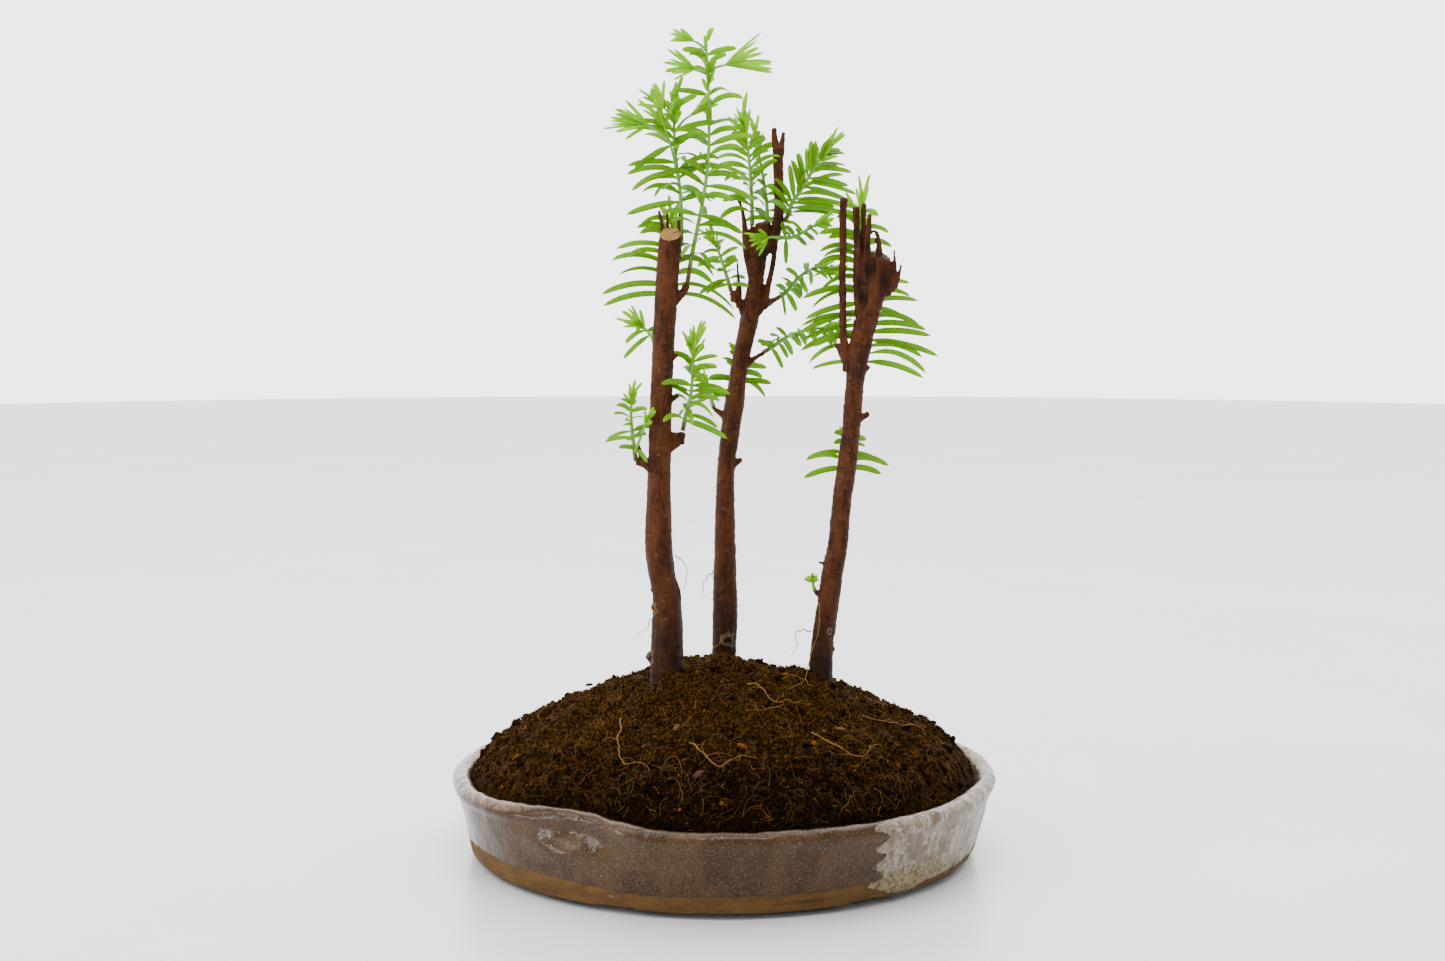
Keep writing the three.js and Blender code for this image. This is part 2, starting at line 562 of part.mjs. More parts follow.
const SHOOTS = {
  shoot_left_a: {
    line: [
      [-17.6, -17, 266], [-17.7, -16, 282], [-18.6, -15, 293], [-19.8, -15, 302], [-20.6, -15, 315],
      [-20.6, -15, 327],
    ],
    pairs: 7, first: 0.3, length: 21, roll: 10, tuft: 4, tuftLength: 9,
    twigs: [
      {
        at: 0.45, line: [[-21.5, -19, 306], [-24, -20, 314], [-26, -20, 320.5]],
        pairs: 2, length: 13, tuft: 4, tuftLength: 12,
        twigs: [{ at: 0.62, line: [[-30, -22, 315.3], [-33, -23, 316.2]], tuft: 5, tuftLength: 14 }],
      },
      { at: 0.78, line: [[-16, -17, 319], [-12.5, -17, 321]], tuft: 4, tuftLength: 12 },
      { at: 0.86, line: [[-23, -13, 322], [-25, -12, 324.5]], tuft: 4, tuftLength: 11 },
    ],
  },
  shoot_left_b: {
    line: [
      [-15, -22, 249.4], [-13, -21, 261.6], [-10.8, -20, 272.2], [-8.3, -19, 285], [-6.2, -18, 300.6],
      [-5.7, -17, 318.7], [-6.2, -16, 337.6], [-7, -16, 351],
    ],
    pairs: 11, length: 20, roll: 60, tuft: 3, tuftLength: 6,
    twigs: [
      { at: 0.89, line: [[-2, -16.5, 341], [2.5, -16.5, 342.2]], tuft: 4, tuftLength: 16 },
      { at: 0.88, line: [[-9.5, -17.5, 339], [-12.5, -18, 339.8]], tuft: 3, tuftLength: 11 },
      { at: 0.97, line: [[-10, -17, 350.6], [-13, -17.5, 352]], tuft: 3, tuftLength: 8 },
    ],
  },
  shoot_left_c: {
    line: [[-23.3, -17.6, 237], [-22.3, -13, 246], [-21.7, -11, 264], [-22.2, -9, 278.6]],
    pairs: 5, first: 0.2, length: 26, turn: 12, droop: 0.45, spread: [70, 60], tuft: 4, tuftLength: 10,
  },
  shoot_left_d: {
    line: [[-17, -22, 187], [-15.6, -22, 193.6], [-13.9, -22, 200], [-12.6, -22, 213], [-12.2, -22, 223]],
    pairs: 7, length: 16, turn: 70, roll: 15, tuft: 4, tuftLength: 10,
  },
  shoot_left_e: {
    line: [[-37.1, -22, 174], [-38.3, -23, 183], [-39.1, -23, 194], [-38.6, -23, 202]],
    pairs: 4, first: 0.35, length: 10, tuft: 2, tuftLength: 6,
    twigs: [
      {
        at: 0.12, line: [[-35.8, -25, 182], [-33.5, -27.5, 188], [-32, -28.5, 192]],
        pairs: 2, length: 7, tuft: 2, tuftLength: 5,
      },
    ],
  },
  shoot_left_f: {
    line: [[-28.9, -17.5, 224], [-31.3, -13, 228], [-35, -11, 231.5]],
    pairs: 2, first: 0.5, length: 11, tuft: 3, tuftLength: 10,
  },
  shoot_middle_a: {
    line: [[13.2, 25, 275.5], [13.2, 25.5, 284], [12.7, 26, 294], [11.4, 27, 309], [9.2, 28, 322]],
    pairs: 8, length: 19, turn: 35, roll: 20, tuft: 4, tuftLength: 11,
  },
  shoot_middle_b: {
    line: [[18, 28.4, 266], [20.2, 31, 277], [19.2, 34, 292], [16.9, 36, 305.4], [15.1, 38, 318]],
    pairs: 6, first: 0.25, length: 10, turn: 25, tuft: 3, tuftLength: 7,
  },
  shoot_middle_c: {
    line: [
      [27.4, 25, 277.5], [29.2, 24.6, 280], [31, 24, 285.6], [35, 23, 291.3], [39.8, 22, 299.2],
      [46.5, 22, 309],
    ],
    pairs: 8, length: 20, turn: 8, droop: 0.25, spread: [55, 35], tuft: 4, tuftLength: 11,
  },
  shoot_middle_d: {
    line: [
      [24, 22.8, 269.6], [26.4, 20, 270.2], [30, 18, 270], [34.4, 17, 271.7], [39.6, 16, 274.7],
      [44, 16, 277],
    ],
    pairs: 5, first: 0.25, length: 10, turn: 10, roll: 60, spread: [85, 60], tuft: 3, tuftLength: 6,
    twigs: [{ at: 0.12, line: [[22.5, 18.6, 270.3], [19.5, 16, 270]], tuft: 4, tuftLength: 8 }],
  },
  shoot_middle_e: {
    line: [[23.7, 25, 242.8], [28.1, 26, 245.6], [34.8, 27, 253], [41.6, 28, 256.8], [49.5, 29, 256.8]],
    pairs: 7, length: 11, turn: 8, roll: 60, spread: [85, 60], tuft: 3, tuftLength: 7,
  },
  shoot_middle_f: {
    line: [
      [18.3, 25, 219], [22.3, 25, 221.4], [28.1, 24, 225.5], [34.8, 23, 228.2], [43.7, 22, 230],
      [50.5, 21, 230.9],
    ],
    pairs: 8, length: 11, turn: 8, roll: 60, spread: [85, 60], tuft: 3, tuftLength: 7,
  },
  shoot_middle_g: {
    line: [[-3.8, 25, 193.6], [-5.6, 26, 199.3], [-8.8, 27, 206]],
    pairs: 3, first: 0.4, length: 10, tuft: 3, tuftLength: 8,
  },
  shoot_middle_h: {
    line: [[3.9, 25, 246.3], [2, 25, 252.7], [-0.7, 25, 261.2], [-4, 25, 270]],
    pairs: 5, length: 11, turn: 70, tuft: 3, tuftLength: 8,
  },
  shoot_middle_i: {
    line: [[6.5, 28.8, 200], [7.2, 33, 206], [8.4, 35, 212], [8, 38, 219.7]],
    pairs: 5, first: 0.3, length: 13, turn: 20, tuft: 3, tuftLength: 8,
  },
  shoot_right_a: {
    line: [
      [60, -8.6, 211], [62.2, -5, 217], [62.6, -3, 226], [61.6, -2, 247], [60.1, -2, 268.5],
      [60.5, -2, 284],
    ],
    pairs: 11, first: 0.08, length: 25, turn: 6, droop: 0.38, spread: [78, 60], tuft: 4, tuftLength: 12,
  },
  shoot_right_b: {
    line: [[53.5, -8, 164], [53.9, -5, 168], [53.6, -4, 175], [54.5, -3, 184]],
    pairs: 3, first: 0.3, length: 16, turn: 20, spread: [80, 70], tuft: 2, tuftLength: 6,
  },
  shoot_right_c: {
    line: [[40.4, -12, 116], [39.6, -12, 118.6], [39.4, -12, 120.6]],
    tuft: 3, tuftLength: 3.4,
  },
};

/** The blade's outline: half width as a share of the greatest, from base to tip. */
function leafOutline(t) {
  return t < 0.5 ? lerp(LEAF_BASE, 1, t * 2) : lerp(1, 0, t * 2 - 1);
}

function leafCurve(base, direction, length, droop) {
  const middle = base.clone().addScaledVector(direction, length * 0.5);
  const tip = base.clone().addScaledVector(direction, length * 0.93).addScaledVector(UP, -droop * length);
  return new THREE.QuadraticBezierCurve3(base, middle, tip);
}

/** Two directions square to a stem: the first as level and as far across the view as can be. */
function sidesOf(tangent) {
  const reference = Math.abs(tangent.x) > 0.75 ? UP : ACROSS;
  const first = reference.clone().addScaledVector(tangent, -reference.dot(tangent)).normalize();
  return [first, new THREE.Vector3().crossVectors(tangent, first)];
}

/** Where a stem's leaves go: base, direction, length and droop of each. */
function leafPlan(shoot, curve, seed) {
  const plan = [];
  for (let i = 0; i < shoot.pairs; i += 1) {
    const share = shoot.pairs > 1 ? i / (shoot.pairs - 1) : 0;
    const t = lerp(shoot.first, shoot.last, share);
    for (const side of [0, 180]) {
      const draw = (k) => chance(seed + i * 7.3 + side * 0.31 + k) - 0.5;
      plan.push({
        t,
        around: shoot.roll + side + i * shoot.turn + draw(1) * 24,
        spread: lerp(shoot.spread[0], shoot.spread[1], share) + draw(2) * 16,
        length: shoot.length * (1 - 0.45 * share ** 2) * (1 + draw(3) * 0.25),
        droop: shoot.droop * (1 + draw(4) * 0.5),
        twist: 50 + draw(5) * 50,
      });
    }
  }
  for (let i = 0; i < shoot.tuft; i += 1) {
    const draw = (k) => chance(seed + 91 + i * 5.7 + k) - 0.5;
    plan.push({
      t: 1 - (0.3 * i) / shoot.tuft,
      around: (360 * i) / shoot.tuft + draw(1) * 30,
      spread: i === 0 ? 4 : 24 + draw(2) * 18,
      length: shoot.tuftLength * (1 + draw(3) * 0.3),
      droop: 0.08,
      twist: 40 + draw(4) * 60,
    });
  }
  return plan;
}

// Room: spheres along every piece of wood and every stem and leaf that is already there.
const taken = [];

function takeRoom(owner, curve, radiusAt, count) {
  for (let i = 0; i <= count; i += 1) {
    const t = i / count;
    taken.push({ owner, at: curve.getPointAt(t), radius: radiusAt(t) });
  }
}

function isClear(owner, curve) {
  const spots = [0.2, 0.35, 0.5, 0.65, 0.8, 1].map((t) => curve.getPointAt(t));
  const reach = LEAF_WIDTH / 2 + GAP;
  return taken.every((one) => one.owner === owner
    || spots.every((spot) => spot.distanceTo(one.at) > one.radius + reach));
}

function leafSolid(owner, place, curve) {
  const base = curve.getPointAt(place.t);
  const tangent = curve.getTangentAt(place.t);
  const [first, second] = sidesOf(tangent);
  for (const turned of LEAF_TRIES) {
    const around = degToRad(place.around + turned);
    const outward = first.clone().multiplyScalar(Math.cos(around)).addScaledVector(second, Math.sin(around));
    const direction = tangent.clone().multiplyScalar(Math.cos(degToRad(place.spread)))
      .addScaledVector(outward, Math.sin(degToRad(place.spread)));
    const blade = leafCurve(base, direction, place.length * LEAF_LENGTH, place.droop);
    if (!isClear(owner, blade)) continue;
    takeRoom(owner, blade, (t) => (leafOutline(t) * LEAF_WIDTH) / 2, 12);
    const level = new THREE.Vector3().crossVectors(direction, tangent).normalize();
    const flat = new THREE.Vector3().crossVectors(level, direction);
    const twist = degToRad(place.twist);
    const width = level.multiplyScalar(Math.cos(twist)).addScaledVector(flat, Math.sin(twist));
    const sizes = (t) => [(leafOutline(t) * LEAF_WIDTH) / 2, (leafOutline(t) * LEAF_THICKNESS) / 2];
    return barSolid(blade, sizes, LEAF_SIDES, 2, width);
  }
  return null;
}

/** The curve of each stem of a shoot, its twigs after it. */
function stemCurves(shoot, parent = null) {
  const own = { ...PLAIN, ...shoot };
  const points = own.line.map(([x, y, z]) => new THREE.Vector3(x, y, grownHeight(z)));
  if (parent) points.unshift(parent.getPointAt(own.at));
  const curve = new THREE.CatmullRomCurve3(points, false, "centripetal");
  return [{ own, curve, isTwig: parent !== null }, ...own.twigs.flatMap((twig) => stemCurves(twig, curve))];
}

function stemRadius(isTwig) {
  const thick = isTwig ? STEM_RADIUS * TWIG_SHARE : STEM_RADIUS;
  return (t) => thick * (1 - STEM_TAPER * t);
}

function stemSolid({ own, curve, isTwig }) {
  const radius = stemRadius(isTwig);
  const rooted = isTwig ? curve : rootedCurve(curve);
  return barSolid(rooted, (t) => [radius(t), radius(t)], STEM_SIDES, own.line.length + 2);
}

/** A stem's curve, started a little inside the wood that bears it. */
function rootedCurve(curve) {
  const points = curve.points.map((point) => point.clone());
  points.unshift(points[0].clone().addScaledVector(curve.getTangentAt(0), -STEM_ANCHOR));
  return new THREE.CatmullRomCurve3(points, false, "centripetal");
}

function shootSolid(name, stems, seed) {
  const parts = [];
  stems.forEach((stem, index) => {
    parts.push(stemSolid(stem));
    for (const place of leafPlan(stem.own, stem.curve, seed + index * 13.7)) {
      const leaf = leafSolid(name, place, stem.curve);
      if (leaf) parts.push(leaf);
    }
  });
  return join(parts).simplify(FINENESS);
}

// ---------------------------------------------------------------------------
// Loose pieces on the soil, placed by direction (degrees) and share of the mound's radius
// ---------------------------------------------------------------------------

const FIBRES = [
  { from: [-70, 0.28], by: [-62, 0.42], to: [-48, 0.5] },
  { from: [-100, 0.7], by: [-92, 0.78], to: [-80, 0.74] },
  { from: [-60, 0.66], by: [-54, 0.78], to: [-42, 0.8] },
  { from: [-30, 0.62], by: [-20, 0.7], to: [-14, 0.82] },
  { from: [-128, 0.62], by: [-120, 0.76], to: [-108, 0.84] },
  { from: [120, 0.55], by: [100, 0.66], to: [84, 0.6] },
];

const CHIPS = [
  { at: [-96, 0.85], size: 5, turn: 20 },
  { at: [-106, 0.62], size: 4.5, turn: 70 },
  { at: [-48, 0.66], size: 5.5, turn: -30 },
  { at: [40, 0.6], size: 5, turn: 10 },
  { at: [150, 0.64], size: 4.5, turn: 50 },
];

function onMound([degrees, share], lift) {
  const [angle, radius] = [degToRad(degrees), share * SOIL_RADIUS];
  const [x, y] = [Math.cos(angle) * radius, Math.sin(angle) * radius];
  return new THREE.Vector3(x, y, soilHeight(x, y) + lift);
}

function fibreSolid({ from, by, to }) {
  const lift = LOOSE_LIFT + FIBRE_RADIUS;
  const ends = [from, by, to].map((place) => onMound(place, 0));
  const plan = new THREE.CatmullRomCurve3(ends);
  const points = plan.getPoints(8).map(({ x, y }) => new THREE.Vector3(x, y, soilHeight(x, y) + lift));
  const radius = (t) => FIBRE_RADIUS * (1 - 0.4 * t);
  return barSolid(new THREE.CatmullRomCurve3(points), (t) => [radius(t), radius(t)], 4, 10);
}

/** A flake of bark: a flattened, faceted pebble that lies along the slope. */
function chipSolid({ at, size, turn }) {
  const middle = onMound(at, 0);
  const step = 3;
  const slope = new THREE.Vector3(
    soilHeight(middle.x - step, middle.y) - soilHeight(middle.x + step, middle.y),
    soilHeight(middle.x, middle.y - step) - soilHeight(middle.x, middle.y + step),
    2 * step,
  ).normalize();
  const flake = new THREE.SphereGeometry(1, 7, 4).rotateX(Math.PI / 2);
  flake.scale(size / 2, (size * CHIP_WIDTH) / 2, CHIP_THICKNESS / 2).rotateZ(degToRad(turn));
  flake.applyQuaternion(new THREE.Quaternion().setFromUnitVectors(UP, slope));
  const lift = LOOSE_LIFT + CHIP_THICKNESS / 2 + GAP;
  return solidFrom(flake.translate(middle.x, middle.y, middle.z + lift));
}

// ---------------------------------------------------------------------------
// Assembly
// ---------------------------------------------------------------------------

const bonsai = new THREE.Group();
const trunkNames = Object.keys(TRUNKS);
const shootNames = Object.keys(SHOOTS);
const woodRoom = join(trunkNames.map((name) => trunkSolid(TRUNKS[name], GAP)));

bonsai.add(pieceFrom("pot", potSolid(), GLAZED_STONEWARE));

const soil = turnedSolid(soilProfile(), POT_SIDES, heaped)
  .subtract(woodRoom)
  .subtract(screenPocket(-1))
  .subtract(screenPocket(1));
bonsai.add(pieceFrom("soil_mound", soil, SOIL));

for (const [label, side] of [["left", -1], ["right", 1]]) {
  bonsai.add(pieceFrom(`drain_mesh_${label}`, screenSolid(side), BLACK_PLASTIC));
  bonsai.add(pieceFrom(`mesh_wire_${label}`, clipSolid(side), WIRE));
}

for (const name of trunkNames) {
  bonsai.add(pieceFrom(name, trunkSolid(TRUNKS[name]), BARK));
  for (const limb of TRUNKS[name].limbs) {
    const curve = curveThrough(limb);
    const radiusAt = columnAlong(limb, curve);
    takeRoom(name, curve, (t) => radiusAt(t) * TRUNK_GIRTH, 6 * limb.length);
  }
}

const shoots = shootNames.map((name) => ({ name, stems: stemCurves(SHOOTS[name]) }));
for (const { name, stems } of shoots) {
  for (const { curve, isTwig } of stems) takeRoom(name, curve, stemRadius(isTwig), 40);
}
shoots.forEach(({ name, stems }, index) => {
  const solid = shootSolid(name, stems, 100 * (index + 1)).subtract(woodRoom);
  bonsai.add(pieceFrom(name, solid, LEAF));
});

FIBRES.forEach((fibre, i) => bonsai.add(pieceFrom(`root_fibre_${i + 1}`, fibreSolid(fibre), COIR)));
CHIPS.forEach((chip, i) => bonsai.add(pieceFrom(`bark_chip_${i + 1}`, chipSolid(chip), BARK)));

export default bonsai;
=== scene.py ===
# Three young conifers in a hand-formed stoneware pot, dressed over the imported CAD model.
# Lists and shapes are worked out in millimetres, in the CAD's own frame, and meshes are made in metres.
import math

import bmesh
import bpy
import numpy as np
from mathutils import Matrix, Vector


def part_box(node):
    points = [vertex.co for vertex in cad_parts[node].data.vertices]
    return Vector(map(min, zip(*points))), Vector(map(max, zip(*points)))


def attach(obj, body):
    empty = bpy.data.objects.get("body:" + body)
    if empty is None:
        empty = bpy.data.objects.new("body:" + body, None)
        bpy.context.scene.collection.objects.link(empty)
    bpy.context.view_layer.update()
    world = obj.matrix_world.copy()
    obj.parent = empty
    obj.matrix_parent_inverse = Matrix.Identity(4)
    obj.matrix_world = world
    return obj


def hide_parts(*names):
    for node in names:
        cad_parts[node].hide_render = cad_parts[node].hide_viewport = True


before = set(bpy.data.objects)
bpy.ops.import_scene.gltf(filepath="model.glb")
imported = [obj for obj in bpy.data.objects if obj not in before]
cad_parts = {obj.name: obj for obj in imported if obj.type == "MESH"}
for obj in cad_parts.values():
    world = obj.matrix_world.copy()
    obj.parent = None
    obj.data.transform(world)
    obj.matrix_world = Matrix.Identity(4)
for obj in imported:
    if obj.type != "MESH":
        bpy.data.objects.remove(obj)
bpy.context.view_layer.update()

MM = 0.001
FULL_TURN = 2 * math.pi
UP = np.array([0.0, 0.0, 1.0])
ACROSS = np.array([1.0, 0.0, 0.0])
FRONT = np.array([0.0, 1.0, 0.0])

# Sizes, as in the CAD
RIM_RADIUS = 120.0
RIM_HEIGHT = 36.5
FLARE = 9.0
LIP_THICKNESS = 8.0
LIP_HEIGHT = 4.0
WALL = 6.5
FLOOR = 7.0
BASE_ROUND = 2.5
LIP_SWELL = 1.6
CORNER_ROUND = 12.0
CORNER_HEIGHT = 7.2
FOOT_HEIGHT = 2.0
FOOT_WIDTH = 10.0
FOOT_INSET = 9.0
FOOT_NOTCH = 34.0
DRAIN_RADIUS = 7.0
DRAIN_OFFSET = 45.0
DENT_ANGLE = math.radians(-121)
DENT_SPREAD = (math.radians(20), math.radians(12.5))
DENT_DEPTH = 7.5
DENT_RISE = 3.0
RIM_WAVE = 0.8
FLOOR_TOP = FOOT_HEIGHT + FLOOR
BASE_RADIUS = RIM_RADIUS - FLARE
MOUTH_RADIUS = RIM_RADIUS - LIP_THICKNESS
LIP_FOOT = RIM_HEIGHT - LIP_HEIGHT
SOIL_GAP = 0.6
MOUND_RISE = 50.0
MOUND_SLOPE = 1.5
MOUND_SHARE = 0.82
EDGE_STEEPNESS = 20
EDGE_CALM = 0.12
SOIL_RADIUS = MOUTH_RADIUS - SOIL_GAP
SOIL_EDGE = RIM_HEIGHT - 2.6
SOIL_LUMP = 1.6
LEAF_WIDTH = 2.1
LEAF_GAP = 0.3
LEAF_TRIES = (0, 20, -20, 40, -40, 65, -65, 90)
STEM_RADIUS = 0.95
STEM_TAPER = 0.5

# Sizes of what is only drawn
POT_SIDES = 540
SOIL_CELLS = 300
FIBRE_COUNT = 3600
FIBRE_STEPS = 6
HEAP_REACH = 10.0
PATCH_ANGLE = -20
PATCH_REACH = math.radians(37.5)
THUMB_ANGLE = -123
TRUNK_SIDES = 40
LIMB_SIDES = 14
LIMB_ROW = 1.2
TRUNK_VOXEL = 0.42
CUT_REACH = 5.5
TORN_FROM, TORN_TO = 238, 250
BLADE_LENGTH = 1.22
BLADE_WIDTH = 2.7
BLADE_ROWS = 12
BLADE_ACROSS = np.array([-1.0, -0.55, 0.0, 0.55, 1.0, 0.55, 0.0, -0.55])
BLADE_HEIGHT = np.array([0.22, 0.08, -0.10, 0.08, 0.22, -0.08, -0.28, -0.08])
PLACE_TOLERANCE = 12


# ---- Lines, noise and meshes ----


def cad_box(node):
    """A CAD node's lowest and highest corners, in millimetres."""
    return [np.array(corner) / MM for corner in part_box(node)]


def chance(seed):
    """Repeatable number from 0 to 1 for a seed, the same as the CAD's."""
    wave = math.sin(seed * 12.9898) * 43758.5453
    return wave - math.floor(wave)


def smoothstep(value, low, high):
    share = np.clip((value - low) / (high - low), 0, 1)
    return share * share * (3 - 2 * share)


def bell(value, width):
    return np.exp(-((value / width) ** 2))


def lerp(a, b, share):
    return a + (b - a) * share


def unit(vector):
    return vector / np.linalg.norm(vector, axis=-1, keepdims=True)


def round_axis(angle, radius, height):
    return np.column_stack([np.cos(angle) * radius, np.sin(angle) * radius, height])


def lattice(cell, seed):
    """A random number from 0 to 1 for each whole-numbered cell."""
    with np.errstate(over="ignore"):
        mixed = cell.astype(np.uint32) * np.array([374761393, 668265263, 2246822519], np.uint32)
        value = mixed.sum(-1, dtype=np.uint32) + np.uint32(seed * 7919 + 13)
        value = (value ^ (value >> np.uint32(13))) * np.uint32(1274126177)
        value ^= value >> np.uint32(16)
    return (value & np.uint32(0xFFFF)) / 65535.0


def lumps(places, size, octaves=3, seed=0):
    """Smooth random heights from about -1 to 1, in lumps of that size with finer ones on them."""
    total = np.zeros(len(places))
    for octave in range(octaves):
        spot = places / (size / 2**octave) + 31.7 * octave + 1000
        cell = np.floor(spot).astype(np.int64)
        share = smoothstep(spot - cell, 0, 1)
        value = np.zeros(len(places))
        for corner in np.ndindex(2, 2, 2):
            part = np.where(np.array(corner) == 1, share, 1 - share).prod(-1)
            value += part * lattice(cell + corner, seed + octave)
        total += (2 * value - 1) / 2**octave
    return total


class Line:
    """A curve through space, read by share of its length."""

    def __init__(self, points, stations=()):
        self.points = np.asarray(points, float)
        steps = np.linalg.norm(np.diff(self.points, axis=0), axis=1)
        self.along = np.concatenate([[0], np.cumsum(steps)])
        self.length = self.along[-1]
        self.stations = [self.along[station] / self.length for station in stations]

    def at(self, share):
        spot = np.clip(share, 0, 1) * self.length
        return np.stack([np.interp(spot, self.along, self.points[:, k]) for k in range(3)], -1)

    def heading(self, share):
        reach = 2e-3
        return unit(self.at(np.minimum(share + reach, 1)) - self.at(np.maximum(share - reach, 0)))


def line_through(points, steps=24):
    """A smooth line through points (centripetal Catmull-Rom, as in the CAD)."""
    points = np.asarray(points, float)
    ends = np.vstack([2 * points[0] - points[1], points, 2 * points[-1] - points[-2]])
    share = np.linspace(0, 1, steps, endpoint=False)[:, None]
    rows = []
    for a, b, c, d in zip(ends, ends[1:], ends[2:], ends[3:]):
        before, here, after = (math.sqrt(np.linalg.norm(q - p)) for p, q in ((a, b), (b, c), (c, d)))
        start = ((b - a) / before - (c - a) / (before + here) + (c - b) / here) * here
        end = ((c - b) / here - (d - b) / (here + after) + (d - c) / after) * here
        rows.append(
            b + start * share + (3 * (c - b) - 2 * start - end) * share**2 + (2 * (b - c) + start + end) * share**3)
    return Line(np.vstack([*rows, points[-1:]]), np.arange(len(points)) * steps)


def line_bent(start, middle, end, steps=24):
    t = np.linspace(0, 1, steps + 1)[:, None]
    return Line((1 - t) ** 2 * start + 2 * t * (1 - t) * middle + t**2 * end)


class Heap:
    """Vertices and faces gathered for one mesh, with three numbers at each vertex for its material."""

    def __init__(self):
        self.vertices, self.tones, self.quads, self.triangles = [], [], [], []
        self.count = 0

    def add(self, vertices, quads=None, triangles=None, tone=(0, 0, 0)):
        for faces, kept in ((quads, self.quads), (triangles, self.triangles)):
            if faces is not None and len(faces):
                kept.append(np.asarray(faces) + self.count)
        self.vertices.append(np.asarray(vertices, float))
        self.tones.append(np.broadcast_to(np.asarray(tone, float), (len(vertices), 3)))
        self.count += len(vertices)

    def mesh(self, name, more_faces=()):
        faces = [np.vstack(kept) for kept in (self.quads, self.triangles) if kept]
        return mesh_from(name, np.vstack(self.vertices), [*faces, *more_faces], np.vstack(self.tones))


def mesh_from(name, vertices, faces, tones=None):
    """A mesh in metres from millimetre vertices and arrays of faces."""
    mesh = bpy.data.meshes.new(name)
    mesh.vertices.add(len(vertices))
    mesh.vertices.foreach_set("co", (vertices * MM).astype(np.float32).ravel())
    corners = np.concatenate([f.ravel() for f in faces]).astype(np.int32)
    sizes = np.concatenate([np.full(len(f), f.shape[1]) for f in faces])
    starts = np.concatenate([[0], np.cumsum(sizes)[:-1]]).astype(np.int32)
    mesh.loops.add(len(corners))
    mesh.loops.foreach_set("vertex_index", corners)
    mesh.polygons.add(len(sizes))
    mesh.polygons.foreach_set("loop_start", starts)
    set_smooth(mesh)
    mesh.update(calc_edges=True)
    if tones is not None:
        paint(mesh, tones)
    return mesh


def set_smooth(mesh, smooth=True):
    mesh.polygons.foreach_set("use_smooth", np.full(len(mesh.polygons), smooth))


def paint(mesh, tones):
    """Stores three numbers at each vertex, for the material to read."""
    layer = mesh.attributes.new("tone", "FLOAT_COLOR", "POINT")
    layer.data.foreach_set("color", np.column_stack([tones, np.ones(len(tones))]).astype(np.float32).ravel())


def places_of(mesh, what="co"):
    values = np.zeros(len(mesh.vertices) * 3, np.float32)
    mesh.vertices.foreach_get(what, values)
    return values.reshape(-1, 3).astype(float) / (MM if what == "co" else 1)


def put(mesh, places):
    mesh.vertices.foreach_set("co", (places * MM).astype(np.float32).ravel())
    mesh.update()


def linked(name, data):
    thing = bpy.data.objects.new(name, data)
    bpy.context.scene.collection.objects.link(thing)
    return thing


def reworked(mesh, work):
    """A mesh after some work on it as a bmesh."""
    bm = bmesh.new()
    bm.from_mesh(mesh)
    work(bm)
    bm.to_mesh(mesh)
    bm.free()
    return mesh


def settled_mesh(thing, *others):
    """The mesh of a thing under its modifiers. The thing and the others it needed are removed."""
    bpy.context.view_layer.update()
    mesh = bpy.data.meshes.new_from_object(thing.evaluated_get(bpy.context.evaluated_depsgraph_get()))
    for scratch in (thing, *others):
        bpy.data.objects.remove(scratch)
    return mesh


def piece(name, mesh, material, replaces=()):
    """A piece of the object: it rides on the CAD's one body and stands for the CAD nodes named."""
    thing = linked(name, mesh)
    mesh.materials.clear()
    mesh.materials.append(material)
    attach(thing, "root")
    if replaces:
        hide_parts(*replaces)
    return thing


def ring_faces(rows, sides):
    """Quads between rings of vertices."""
    here = np.arange(sides)
    after = (here + 1) % sides
    row = np.arange(rows - 1)[:, None] * sides
    return np.stack([row + here, row + after, row + sides + after, row + sides + here], -1).reshape(-1, 4)


def ring_caps(rows, sides):
    """Faces over the first ring and the last one."""
    ring = np.arange(sides)[None, :]
    return [ring[:, ::-1], (rows - 1) * sides + ring]


def tube(line, radius_at, sides, rows, closed=True):
    """Rings round a line, as vertices, quads and the triangles of its ends. radius_at takes shares of its length."""
    shares = np.linspace(0, 1, rows)
    middles, headings = line.at(shares), line.heading(shares)
    side = unit(np.cross(headings[0], ACROSS if abs(headings[0][0]) < 0.8 else UP))
    sideways = []
    for heading in headings:
        side = unit(side - heading * side.dot(heading))
        sideways.append(side)
    first = np.array(sideways)
    second = unit(np.cross(first, headings))
    turn = np.linspace(0, FULL_TURN, sides, endpoint=False)[None, :, None]
    radii = radius_at(shares)[:, None]
    ring = first[:, None] * np.cos(turn) + second[:, None] * np.sin(turn)
    vertices = (middles[:, None] + ring * radii[:, None]).reshape(-1, 3)
    quads = ring_faces(rows, sides)
    if not closed:
        return vertices, quads, None
    ends = [middles[0] - headings[0] * radii[0] * 0.25, middles[-1] + headings[-1] * radii[-1] * 0.25]
    here = np.arange(sides)
    after, last, start = np.roll(here, -1), (rows - 1) * sides, np.full(sides, rows * sides)
    triangles = np.vstack([
        np.column_stack([after, here, start]), np.column_stack([last + here, last + after, start + 1])])
    return np.vstack([vertices, ends]), quads, triangles


def tapered(radius, taper):
    return lambda share: radius * (1 - taper * share)


# ---- Materials ----


def linear(code):
    """A colour such as 7a6c5f as linear red, green, blue and alpha."""
    parts = [int(code[i:i + 2], 16) / 255 for i in (0, 2, 4)]
    return [p / 12.92 if p <= 0.04045 else ((p + 0.055) / 1.055) ** 2.4 for p in parts] + [1.0]


